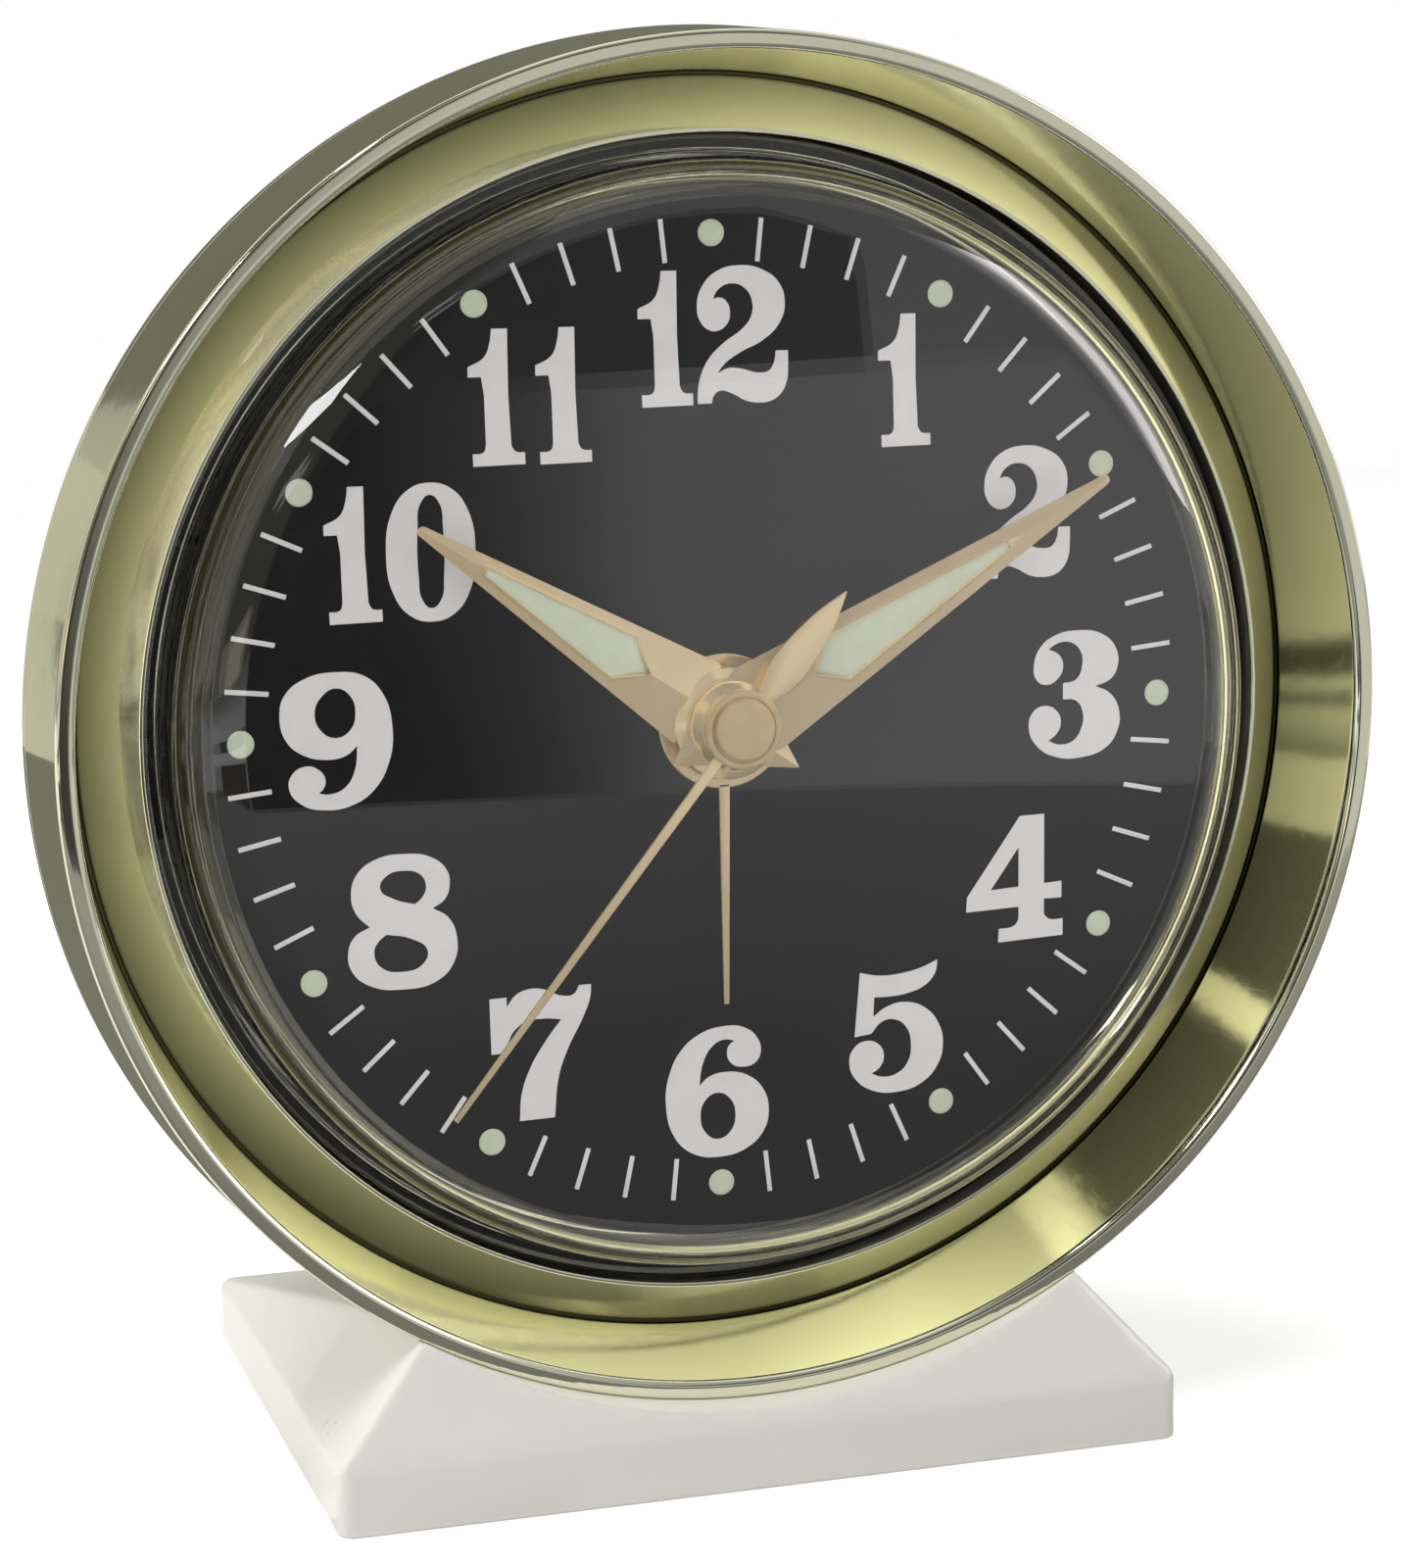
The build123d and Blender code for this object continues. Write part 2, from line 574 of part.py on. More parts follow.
def luminous_dots():
    dots = []
    for hour in range(hours):
        dots.append(rod(polar(centre_spot, dot_circle, hour * 360 / hours), dot_radius, -dot_height, 0))
    return Compound(children=dots)


# A hand's outline points up before it is turned to its clock direction
def clockwise(face, angle):
    return Rot(0, 0, -angle) * face


def kite(reach, shoulder, half, tail):
    return blade(((0, reach), (-half, shoulder), (0, -tail), (half, shoulder)))


def window(tip, foot, half, heel):
    return blade(((-window_tip_half, tip), (-half, foot), (0, heel), (half, foot), (window_tip_half, tip)))


# A sheet hand with two facets that meet in a ridge
def faceted_hand(outline, opening, bore, half, reach, angle, back):
    thickness = hand_sheet + hand_ridge
    sheet = slab(clockwise(outline - opening - Circle(bore), angle), centre_spot, back - thickness, back)
    section = blade(((-half, 0), (half, 0), (half, hand_sheet), (0, thickness), (-half, hand_sheet)))
    along = Plane(origin=(0, -reach, 0), x_dir=(1, 0, 0), z_dir=(0, 1, 0))
    ridge = extrude(along * (Rot(0, 0, 180) * section), amount=2 * reach)
    ridge = Rot(0, 0, -angle) * ridge
    return sheet & (front_plane(centre_spot, back) * ridge)


def hour_outline():
    return kite(hour_reach, hour_shoulder, hour_half, hour_tail)


def hour_window():
    return window(hour_window_tip, hour_window_foot, hour_window_half, hour_window_heel)


def minute_outline():
    return kite(minute_reach, minute_shoulder, minute_half, minute_tail)


def minute_window():
    return window(minute_window_tip, minute_window_foot, minute_window_half, minute_window_heel)


def hour_hand():
    return faceted_hand(
        hour_outline(),
        hour_window(),
        hour_pipe,
        hour_half,
        hour_reach,
        hour_direction,
        hour_hand_back,
    )


def minute_hand():
    return faceted_hand(
        minute_outline(),
        minute_window(),
        cannon_pipe,
        minute_half,
        minute_reach,
        minute_direction,
        minute_hand_back,
    )


def hour_lume():
    face = clockwise(hour_window(), hour_direction)
    return slab(face, centre_spot, hour_hand_back - lume_sheet, hour_hand_back)


def minute_lume():
    face = clockwise(minute_window(), minute_direction)
    return slab(face, centre_spot, minute_hand_back - lume_sheet, minute_hand_back)


def second_hand():
    bar = blade(
        (
            (-second_root_half, 0),
            (second_root_half, 0),
            (second_tip_half, second_reach),
            (-second_tip_half, second_reach),
        )
    )
    leaf = blade(
        (
            (-second_root_half, 0),
            (-leaf_half, -leaf_at),
            (0, -second_tail),
            (barb_half, -barb_at),
            (leaf_half, -leaf_at),
            (second_root_half, 0),
        )
    )
    face = bar + leaf + Circle(cap_ring) - Circle(seconds_arbor)
    front = second_hand_back - thin_sheet
    return slab(clockwise(face, second_direction), centre_spot, front, second_hand_back)


def second_cap():
    front = second_hand_back - thin_sheet
    ring = tube(centre_spot, cap_ring, cap_ring_bore, cap_floor - thin_sheet, front)
    floor = tube(centre_spot, cap_ring, seconds_arbor, cap_floor, front)
    knob = rod(centre_spot, cap_knob, cap_front, front)
    knob -= rod(centre_spot, seconds_arbor, seconds_end, front)
    return ring + floor + knob


def alarm_hand():
    bar = blade(
        (
            (-alarm_bar_half, 0),
            (alarm_bar_half, 0),
            (alarm_tip_half, alarm_reach),
            (-alarm_tip_half, alarm_reach),
        )
    )
    face = bar + Circle(alarm_disc) - Circle(alarm_pipe)
    front = alarm_hand_back - thin_sheet
    return slab(clockwise(face, alarm_direction), centre_spot, front, alarm_hand_back)


# Movement plates, each pierced for what turns in it or passes through it
def plate(front, holes):
    face = Circle(plate_radius)
    high = plate_top - plate_bottom
    face &= Pos(0, (plate_top + plate_bottom) / 2) * Rectangle(2 * plate_half_width, high)
    for spot, radius in holes:
        face -= Pos(*spot) * Circle(radius)
    return slab(face, centre_spot, front, front + plate_sheet)


def pivot_holes():
    holes = [(spot, arbor_pivot + running) for spot in (third_spot, verge_spot, fork_spot)]
    holes += [(spot, staff_pivot + running) for spot in (balance_spot, escape_spot)]
    holes += [(spot, setting_arbor + running) for spot in (time_set_spot, alarm_set_spot)]
    return holes + [(spot, pillar_neck) for spot in pillar_spots]


def front_movement_plate():
    holes = pivot_holes() + [(spot, winding_pivot + running) for spot in (time_spot, alarm_spot)]
    holes += [(centre_spot, centre_tube + running), (hammer_spot, arbor_pivot + running)]
    return plate(front_plate, holes + [(minute_spot, minute_post), (lock_rivet_spot, click_rivet)])


def rear_movement_plate():
    holes = pivot_holes() + [(spot, winding_arbor + running) for spot in (time_spot, alarm_spot)]
    holes += [(centre_spot, seconds_pivot + running), (hammer_spot, arbor + running)]
    back = rear_plate + plate_sheet
    boss = tube(balance_spot, boss_radius, staff_pivot + running, back, back + boss_height)
    return plate(rear_plate, holes + [(bell_spot, bell_post)]) + boss


def pillars():
    posts = []
    thread_end = rear_plate + plate_sheet + pillar_neck_length
    for spot in pillar_spots:
        post = rod(spot, pillar_radius, front_plate + plate_sheet, rear_plate)
        post += rod(spot, pillar_neck, front_plate, front_plate + plate_sheet)
        post += rod(spot, rivet_radius, front_plate - rivet_height, front_plate)
        posts.append(post + rod(spot, pillar_neck, rear_plate, thread_end))
    return Compound(children=posts)


def standoffs():
    nuts = []
    for spot in pillar_spots:
        hexagon = RegularPolygon(standoff_flat / 2, standoff_sides, major_radius=False)
        nut = slab(hexagon, spot, rear_plate + plate_sheet, cover_front)
        nut -= rod(spot, pillar_neck, rear_plate, rear_plate + plate_sheet + pillar_neck_length)
        nuts.append(nut - rod(spot, cover_screw, cover_front - cover_screw_length, cover_front + overrun))
    return Compound(children=nuts)


def cover_screws():
    screws = []
    back = cover_front + cover_sheet
    for spot in pillar_spots:
        head = rod(spot, cover_screw_head, back, back + cover_screw_head_height)
        slot = Rectangle(2 * cover_screw_head + overrun, slot_width)
        slot_floor = back + cover_screw_head_height / 2
        head -= slab(slot, spot, slot_floor, slot_floor + cover_screw_head_height)
        screws.append(head + rod(spot, cover_screw, cover_front - cover_screw_length, back))
    return Compound(children=screws)


def back_cover():
    face = Circle(cup_bore)
    for spot in (time_spot, alarm_spot):
        face -= Pos(*spot) * Circle(winding_hole)
    for spot in (time_set_spot, alarm_set_spot):
        face -= Pos(*spot) * Circle(setting_hole)
    for spot in pillar_spots:
        face -= Pos(*spot) * Circle(cover_screw_hole)
    face -= Pos(*button_spot) * Circle(button_rod + running)
    clear = regulator_post + regulator_room
    band = Circle(regulator_reach + clear) - Circle(regulator_reach - clear)
    sweep = regulator_swing + degrees(clear / regulator_reach)
    far = 2 * regulator_reach
    fan = blade(((0, 0), polar((0, 0), far, 90 - sweep), (0, far), polar((0, 0), far, 90 + sweep)))
    face -= Pos(*balance_spot) * (band & fan)
    return slab(face, centre_spot, cover_front, cover_front + cover_sheet)


# A wound strip: half circles about two neighbouring centres, growing outwards
def coil_face(inner, outer, sheet, coils):
    steps = 2 * coils
    shift = (outer - sheet - inner) / steps
    edges = [Line((inner, 0), (inner + sheet, 0)).edge(), Line((outer - sheet, 0), (outer, 0)).edge()]
    for step in range(steps):
        odd = step % 2
        for radius in (inner + step * shift, inner + step * shift + sheet):
            edges.append(CenterArc((odd * shift, 0), radius, 180 * odd, 180).edge())
    return make_face(edges)


def mainspring(spot, outer, anchor):
    # The outer coil leaves along a straight tail and ends in a loop round the pillar
    side = outer - spring_sheet
    loop_x = side - pillar_radius
    run = sqrt(apart(spot, anchor) ** 2 - loop_x**2)
    tail = blade(((side, 0), (outer, 0), (outer, run), (side, run)))
    loop = Pos(loop_x, run) * (Circle(pillar_radius + spring_sheet) - Circle(pillar_radius))
    face = coil_face(winding_arbor + running, outer, spring_sheet, spring_coils) + tail + loop
    turn = direction(spot, anchor) - direction((0, 0), (loop_x, run))
    return slab(Rot(0, 0, turn) * face, spot, spring_front, spring_front + spring_width)


def winding_shaft(spot):
    body = rod(spot, winding_arbor, front_plate + plate_sheet, key_front)
    body += rod(spot, winding_pivot, front_plate, front_plate + plate_sheet)
    body += rod(spot, winding_collar, front_plate + plate_sheet + running, great_front - running)
    return body + rod(spot, key_bore, key_front, winding_end)


def ratchet(spot, click_angle):
    corners = ((ratchet_root, -ratchet_face_share), (ratchet_tip, 0.0))
    face = toothed(corners, ratchet_teeth, click_angle + click_gap_angle) - Circle(winding_arbor)
    return slab(face, spot, ratchet_front, ratchet_front + ratchet_sheet)


def great_wheel(spot, teeth, click_angle):
    root = teeth * great_module / 2 - wheel_root * great_module
    pivot = Pos(*polar((0, 0), click_pivot_distance, click_angle))
    face = crossed(wheel_face(teeth, great_module, great_phase), root, great_arms, click_angle)
    face += pivot * Circle(2 * click_hub)
    face -= pivot * Circle(click_rivet + running)
    face -= Circle(winding_arbor + running)
    return slab(face, spot, great_front, great_front + great_sheet)


def click(spot, click_angle):
    pivot = (click_pivot_distance, 0)
    nose = polar((0, 0), ratchet_tip + click_lift, click_reach_angle)
    along = direction(pivot, nose)
    arm = blade(
        (
            polar(pivot, click_half, along + 90),
            polar(pivot, click_half, along - 90),
            polar(nose, click_nose_half, along - 90),
            polar(nose, click_nose_half, along + 90),
        )
    )
    face = Rot(0, 0, click_angle) * (arm + Pos(*pivot) * Circle(click_hub))
    body = slab(face, spot, ratchet_front, ratchet_front + ratchet_sheet)
    rivet_spot = polar(spot, click_pivot_distance, click_angle)
    return body + rod(rivet_spot, click_rivet, great_front, ratchet_front)


def winding_key(spot):
    lobe_depth = key_end - key_lobe
    wing = blade(
        (
            (-key_wing, key_web_front),
            (key_wing, key_web_front),
            (key_wing, key_web_back),
            (-key_wing, key_web_back),
        )
    )
    for side in (-1, 1):
        wing += Pos(side * key_wing, lobe_depth) * Circle(key_lobe)
    for side in (-1, 1):
        wing -= Pos(side * key_wing, lobe_depth) * Circle(key_eye)
    plate_wing = extrude(lathe_plane(spot) * wing, amount=key_sheet / 2, both=True)
    hub = rod(spot, key_hub, key_front, key_hub_back)
    return hub + plate_wing - rod(spot, key_bore, key_front, winding_end)


# Going train, from the hollow centre arbor to the escape wheel
def train_arbor(spot):
    body = rod(spot, arbor, front_plate + plate_sheet + end_shake, rear_plate - end_shake)
    return body + rod(spot, arbor_pivot, front_plate, rear_plate + plate_sheet)


def pinion(spot, teeth, module, phase, wheel_front, wheel_back):
    face = pinion_face(teeth, module, phase)
    return slab(face, spot, wheel_front - pinion_margin, wheel_back + pinion_margin)


def train_wheel(spot, teeth, module, phase, bore, front):
    root = teeth * module / 2 - wheel_root * module
    face = crossed(wheel_face(teeth, module, phase), root, wheel_arms) - Circle(bore)
    return slab(face, spot, front, front + train_sheet)


def centre_arbor():
    great_back = great_front + great_sheet
    body = rod(centre_spot, centre_tube, pipe_front, centre_wheel_front + train_sheet + pinion_margin)
    body += pinion(
        centre_spot, centre_pinion_teeth, great_module, centre_pinion_phase, great_front, great_back
    )
    return body - rod(centre_spot, seconds_arbor + running, pipe_front, third_front)


def centre_wheel():
    return train_wheel(
        centre_spot, centre_teeth, wheel_module, centre_phase, centre_tube, centre_wheel_front
    )


def third_arbor():
    wheel_back = centre_wheel_front + train_sheet
    return train_arbor(third_spot) + pinion(
        third_spot, third_pinion_teeth, wheel_module, third_pinion_phase, centre_wheel_front, wheel_back
    )


def third_wheel():
    return train_wheel(third_spot, third_teeth, third_module, third_phase, arbor, third_front)


def seconds_shaft():
    body = rod(centre_spot, seconds_arbor, seconds_end, rear_plate - end_shake)
    body += rod(centre_spot, seconds_pivot, rear_plate - end_shake, rear_plate + plate_sheet)
    wheel_back = third_front + train_sheet
    return body + pinion(
        centre_spot, seconds_pinion_teeth, third_module, seconds_pinion_phase, third_front, wheel_back
    )


def seconds_wheel():
    return train_wheel(
        centre_spot, seconds_teeth, seconds_wheel_module, seconds_phase, seconds_arbor, seconds_front
    )


# Escapement with pin pallets
def escape_wheel():
    body = rod(escape_spot, staff, front_plate + plate_sheet + end_shake, rear_plate - end_shake)
    body += rod(escape_spot, staff_pivot, front_plate, rear_plate + plate_sheet)
    body += pinion(
        escape_spot,
        escape_pinion_teeth,
        seconds_wheel_module,
        escape_pinion_phase,
        seconds_front,
        seconds_front + train_sheet,
    )
    gap = 360 / escape_teeth / 2
    face = toothed(escape_corner_shares, escape_teeth, escapement_angle + pallet_span + gap)
    face -= Circle(escape_rim)
    arm_bar = Pos(escape_rim / 2, 0) * Rectangle(escape_rim + arm_overlap, escape_arm)
    for arm in range(wheel_arms):
        face += Rot(0, 0, arm * 360 / wheel_arms) * arm_bar
    face += Circle(escape_hub)
    return body + slab(face, escape_spot, escape_front, escape_front + escape_sheet)


def bar(start, end, half):
    along = direction(start, end)
    corners = ((start, 90), (start, -90), (end, -90), (end, 90))
    body = blade([polar(spot, half, along + turn) for spot, turn in corners])
    return body + Pos(*start) * Circle(half) + Pos(*end) * Circle(half)


def pallet_spots():
    reach = escape_tip + pallet_pin + pallet_margin
    return [polar(escape_spot, reach, escapement_angle + side * pallet_span) for side in (-1, 1)]


def relative(spot, origin):
    return spot[0] - origin[0], spot[1] - origin[1]


def pallet_fork():
    face = Circle(fork_hub)
    for spot in pallet_spots():
        face += bar((0, 0), relative(spot, fork_spot), fork_arm_half)
    head = fork_reach - fork_mouth
    lever = blade(
        (
            (0, -fork_arm_half),
            (head - fork_mouth, -fork_arm_half),
            (head, -fork_horn),
            (fork_reach, -fork_horn),
            (fork_reach, -fork_slot_half),
            (head, -fork_slot_half),
            (head, fork_slot_half),
            (fork_reach, fork_slot_half),
            (fork_reach, fork_horn),
            (head, fork_horn),
            (head - fork_mouth, fork_arm_half),
            (0, fork_arm_half),
        )
    )
    face += Rot(0, 0, escapement_angle) * lever
    body = slab(face, fork_spot, fork_front, fork_front + fork_sheet) + train_arbor(fork_spot)
    for spot in pallet_spots():
        body += rod(spot, pallet_pin, escape_front - pinion_margin, fork_front)
    return body


def balance_staff():
    body = rod(balance_spot, staff, front_plate + plate_sheet + end_shake, rear_plate - end_shake)
    body += rod(balance_spot, staff_pivot, front_plate, rear_plate + plate_sheet)
    body += rod(balance_spot, roller, roller_front, roller_front + roller_sheet)
    body += rod(balance_spot, collet, hair_front, hair_front + hair_width)
    pin_spot = polar(balance_spot, impulse_circle, escapement_angle + 180)
    return body + rod(pin_spot, impulse_pin, fork_front, roller_front)


def balance_wheel():
    face = Circle(balance_radius) - Circle(balance_bore)
    face += Rectangle(2 * balance_bore + arm_overlap, 2 * balance_arm_half)
    face += Circle(balance_hub)
    face -= Circle(staff)
    return slab(face, balance_spot, balance_front, balance_front + balance_sheet)


def hairspring():
    face = coil_face(collet + running, hair_radius, hair_sheet, hair_coils)
    body = slab(face, balance_spot, hair_front, hair_front + hair_width)
    stud_spot = polar(balance_spot, hair_radius - hair_sheet / 2, 0)
    return body + rod(stud_spot, stud_radius, hair_front, rear_plate)


def regulator_lever():
    face = Circle(regulator_ring) + bar((0, regulator_ring), (0, regulator_reach), regulator_half)
    face -= Circle(boss_radius + running)
    front = rear_plate + plate_sheet + 2 * running
    post_spot = polar(balance_spot, regulator_reach, 90)
    return slab(face, balance_spot, front, front + regulator_sheet) + rod(
        post_spot, regulator_post, front, regulator_end
    )


# Motion work behind the dial
def cannon_pinion():
    body = rod(centre_spot, cannon_pipe, pipe_front, cannon_back)
    teeth = pinion_face(cannon_teeth, wheel_module, cannon_phase)
    body += slab(teeth, centre_spot, cannon_front, cannon_back)
    return body - rod(centre_spot, centre_tube, pipe_front, cannon_back)


def minute_wheel():
    body = slab(
        wheel_face(minute_teeth, wheel_module, minute_phase),
        minute_spot,
        minute_wheel_front,
        minute_wheel_front + thin_wheel,
    )
    face = pinion_face(minute_pinion_teeth, minute_pinion_module, minute_pinion_phase)
    body += slab(face, minute_spot, minute_pinion_front, minute_wheel_front)
    return body - rod(minute_spot, minute_post + running, minute_pinion_front, cannon_back)


def minute_wheel_post():
    return rod(minute_spot, minute_post, minute_post_front, front_plate + plate_sheet)


def hour_wheel():
    root = hour_teeth * minute_pinion_module / 2 - wheel_root * minute_pinion_module
    face = crossed(wheel_face(hour_teeth, minute_pinion_module, hour_phase), root, great_arms, 90)
    back = hour_wheel_front + thin_wheel
    body = slab(face, centre_spot, hour_wheel_front, back)
    body += rod(centre_spot, hour_pipe, hour_pipe_front, back)
    return body - rod(centre_spot, cannon_pipe + running, hour_pipe_front, back)


def alarm_wheel():
    back = alarm_wheel_front + thin_wheel
    body = slab(wheel_face(alarm_teeth, wheel_module, alarm_phase), centre_spot, alarm_wheel_front, back)
    body += rod(centre_spot, alarm_pipe, alarm_pipe_front, back)
    far = 2 * cam_outer
    notch = blade(((0, 0), polar((0, 0), far, -cam_gap / 2), polar((0, 0), far, cam_gap / 2)))
    cam = Circle(cam_outer) - Circle(cam_inner) - notch
    body += slab(cam, centre_spot, back, back + cam_height)
    return body - rod(centre_spot, hour_pipe + running, alarm_pipe_front, back)


def setting_shaft(spot, phase, front, back):
    body = rod(spot, setting_arbor, front, setting_end)
    return body + slab(pinion_face(setting_teeth, wheel_module, phase), spot, front, back)


def setting_knob(spot):
    face = toothed(knob_corner_shares, knob_ribs, 0)
    return slab(face, spot, knob_front, knob_end) - rod(spot, setting_arbor, knob_front, setting_end)


# Alarm lock: a leaf riveted to the front plate, forked round the cannon pipe
def release_lever():
    inner, outer = leaf_slot_half, leaf_slot_half + leaf_spring_half
    face = bar((0, 0), lock_rivet_spot, leaf_spring_half) + Circle(outer)
    face += Pos(*lock_rivet_spot) * Circle(lock_pad)
    slot = bar((0, 0), polar((0, 0), 2 * outer, direction(lock_rivet_spot, (0, 0))), inner)
    back = leaf_spring_front + leaf_spring_sheet
    body = slab(face - slot, centre_spot, leaf_spring_front, back)
    body += rod(lock_rivet_spot, lock_spacer, back, front_plate)
    return body + rod(lock_rivet_spot, click_rivet, front_plate, front_plate + plate_sheet)


# Alarm striking work
def verge_wheel():
    body = train_arbor(verge_spot) + pinion(
        verge_spot,
        verge_pinion_teeth,
        great_module,
        verge_pinion_phase,
        great_front,
        great_front + great_sheet,
    )
    gap = 360 / verge_teeth / 2
    phase = direction(verge_spot, hammer_spot) + verge_span + gap
    face = toothed(verge_corner_shares, verge_teeth, phase)
    return body + slab(face, verge_spot, verge_front, verge_front + train_sheet)


def verge_pin_spots():
    reach = verge_tip + verge_pin + verge_margin
    line = direction(verge_spot, hammer_spot)
    return [polar(verge_spot, reach, line + side * verge_span) for side in (-1, 1)]


def hammer():
    arm_back = hammer_arm_front + hammer_arm_sheet
    body = rod(hammer_spot, arbor, front_plate + plate_sheet + end_shake, arm_back)
    body += rod(hammer_spot, arbor_pivot, front_plate, front_plate + plate_sheet + end_shake)
    plate_face = Circle(2 * arbor)
    for spot in verge_pin_spots():
        plate_face += bar((0, 0), relative(spot, hammer_spot), verge_plate_half)
        body += rod(spot, verge_pin, verge_front - pinion_margin, verge_plate_front)
    body += slab(plate_face, hammer_spot, verge_plate_front, verge_plate_front + thin_wheel)
    arm = bar((0, 0), relative(hammer_head_spot, hammer_spot), hammer_arm_half)
    arm += bar((0, 0), relative(hammer_tail_spot, hammer_spot), hammer_arm_half)
    body += slab(arm, hammer_spot, hammer_arm_front, arm_back)
    head_back = hammer_arm_front + hammer_head_height
    return body + rod(hammer_head_spot, hammer_head, hammer_arm_front, head_back)


def bell():
    face = blade(
        (
            (bell_post, bell_back - bell_wall),
            (bell_post, bell_back),
            (bell_radius, bell_back),
            (bell_radius, bell_front),
            (bell_radius - bell_wall, bell_front),
            (bell_radius - bell_wall, bell_back - bell_wall),
        )
    )
    face = softened(face, ((bell_radius, bell_back),), bell_round)
    face = softened(face, ((bell_radius - bell_wall, bell_back - bell_wall),), bell_round - bell_wall)
    return turned(face, bell_spot)


def bell_pillar():
    body = rod(bell_spot, bell_post, rear_plate, bell_back)
    return body + rod(bell_spot, bell_nut, rear_plate + plate_sheet, bell_back - bell_wall)


def alarm_stop_button():
    body = rod(button_spot, button_rod, button_tip, button_head_front)
    head = rod(button_spot, button_head, button_head_front, button_end)
    crown = head.edges().sort_by(Axis.Y)[-1]
    return body + fillet(crown, button_round)


time_click_angle = direction(centre_spot, time_spot)
alarm_click_angle = direction(centre_spot, alarm_spot)
time_pillar, alarm_pillar = pillar_spots[0], pillar_spots[1]

save(base(), "base")
save(base_screws(), "base_screws")
save(case(), "case_drum")
save(bezel(), "bezel")
save(lens(), "lens")
save(dial(), "dial")
save(luminous_dots(), "hour_dots")
save(hour_hand(), "hour_hand")
save(hour_lume(), "hour_lume")
save(minute_hand(), "minute_hand")
save(minute_lume(), "minute_lume")
save(second_hand(), "second_hand")
save(second_cap(), "second_cap")
save(alarm_hand(), "alarm_hand")
save(back_cover(), "back_cover")
save(cover_screws(), "cover_screws")
save(front_movement_plate(), "front_plate")
save(rear_movement_plate(), "rear_plate")
save(pillars(), "pillars")
save(standoffs(), "standoffs")
save(winding_shaft(time_spot), "time_winding_arbor")
save(ratchet(time_spot, time_click_angle), "time_ratchet")
save(great_wheel(time_spot, great_teeth, time_click_angle), "time_great_wheel")
save(click(time_spot, time_click_angle), "time_click")
save(mainspring(time_spot, time_spring_radius, time_pillar), "time_mainspring")
save(winding_key(time_spot), "time_key")
save(winding_shaft(alarm_spot), "alarm_winding_arbor")
save(ratchet(alarm_spot, alarm_click_angle), "alarm_ratchet")
save(great_wheel(alarm_spot, alarm_great_teeth, alarm_click_angle), "alarm_great_wheel")
save(click(alarm_spot, alarm_click_angle), "alarm_click")
save(mainspring(alarm_spot, alarm_spring_radius, alarm_pillar), "alarm_mainspring")
save(winding_key(alarm_spot), "alarm_key")
save(centre_arbor(), "centre_arbor")
save(centre_wheel(), "centre_wheel")
save(third_arbor(), "third_arbor")
save(third_wheel(), "third_wheel")
save(seconds_shaft(), "seconds_arbor")
save(seconds_wheel(), "seconds_wheel")
save(escape_wheel(), "escape_wheel")
save(pallet_fork(), "pallet_fork")
save(balance_staff(), "balance_staff")
save(balance_wheel(), "balance_wheel")
save(hairspring(), "hairspring")
save(regulator_lever(), "regulator_lever")
save(cannon_pinion(), "cannon_pinion")
save(minute_wheel(), "minute_wheel")
save(minute_wheel_post(), "minute_post")
save(hour_wheel(), "hour_wheel")
save(alarm_wheel(), "alarm_wheel")
setting_back = minute_wheel_front + thin_wheel + pinion_margin
time_set = setting_shaft(time_set_spot, time_set_phase, minute_wheel_front - pinion_margin, setting_back)
save(time_set, "time_set_arbor")
save(setting_knob(time_set_spot), "time_set_knob")
alarm_set_back = alarm_wheel_front + thin_wheel + pinion_margin
alarm_set = setting_shaft(alarm_set_spot, alarm_set_phase, alarm_pinion_front, alarm_set_back)
save(alarm_set, "alarm_set_arbor")
save(setting_knob(alarm_set_spot), "alarm_set_knob")
save(release_lever(), "release_lever")
save(verge_wheel(), "verge_wheel")
save(hammer(), "hammer")
save(bell(), "bell")
save(bell_pillar(), "bell_post")
save(alarm_stop_button(), "alarm_stop_button")
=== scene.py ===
import bpy
import bmesh
import numpy as np
from math import radians
from mathutils import Matrix, Vector
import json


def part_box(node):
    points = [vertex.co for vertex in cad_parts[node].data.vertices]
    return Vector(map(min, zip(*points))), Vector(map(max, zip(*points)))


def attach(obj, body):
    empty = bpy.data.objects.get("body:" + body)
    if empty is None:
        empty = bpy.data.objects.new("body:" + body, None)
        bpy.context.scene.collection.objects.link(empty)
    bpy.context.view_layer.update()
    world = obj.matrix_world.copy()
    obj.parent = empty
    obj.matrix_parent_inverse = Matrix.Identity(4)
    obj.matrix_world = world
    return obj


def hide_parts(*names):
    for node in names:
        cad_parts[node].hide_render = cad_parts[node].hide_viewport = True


# Wind-up alarm clock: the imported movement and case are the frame, the seen surfaces are laid over it here.
# Helpers work in millimetres; radius and depth are counted from the dial's centre and face.

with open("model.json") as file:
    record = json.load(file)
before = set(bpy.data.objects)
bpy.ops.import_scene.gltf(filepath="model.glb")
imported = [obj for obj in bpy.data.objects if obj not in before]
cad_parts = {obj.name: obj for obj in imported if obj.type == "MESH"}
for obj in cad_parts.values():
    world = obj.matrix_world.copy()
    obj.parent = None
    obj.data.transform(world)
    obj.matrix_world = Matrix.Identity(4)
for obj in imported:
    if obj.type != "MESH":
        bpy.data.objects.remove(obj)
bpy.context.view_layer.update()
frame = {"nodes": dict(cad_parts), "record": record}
print("frame loaded,", len(frame["nodes"]), "nodes")

mm = 0.001
dialLow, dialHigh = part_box("dial")
dialFace = dialLow.y / mm
axisUp = (dialLow.z + dialHigh.z) / 2 / mm
twoPi = 2 * np.pi


def spotOf(node):
    # middle of a node, to the right of and above the dial's centre
    low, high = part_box(node)
    return (low.x + high.x) / 2 / mm, (low.z + high.z) / 2 / mm - axisUp


# ---- mesh helpers

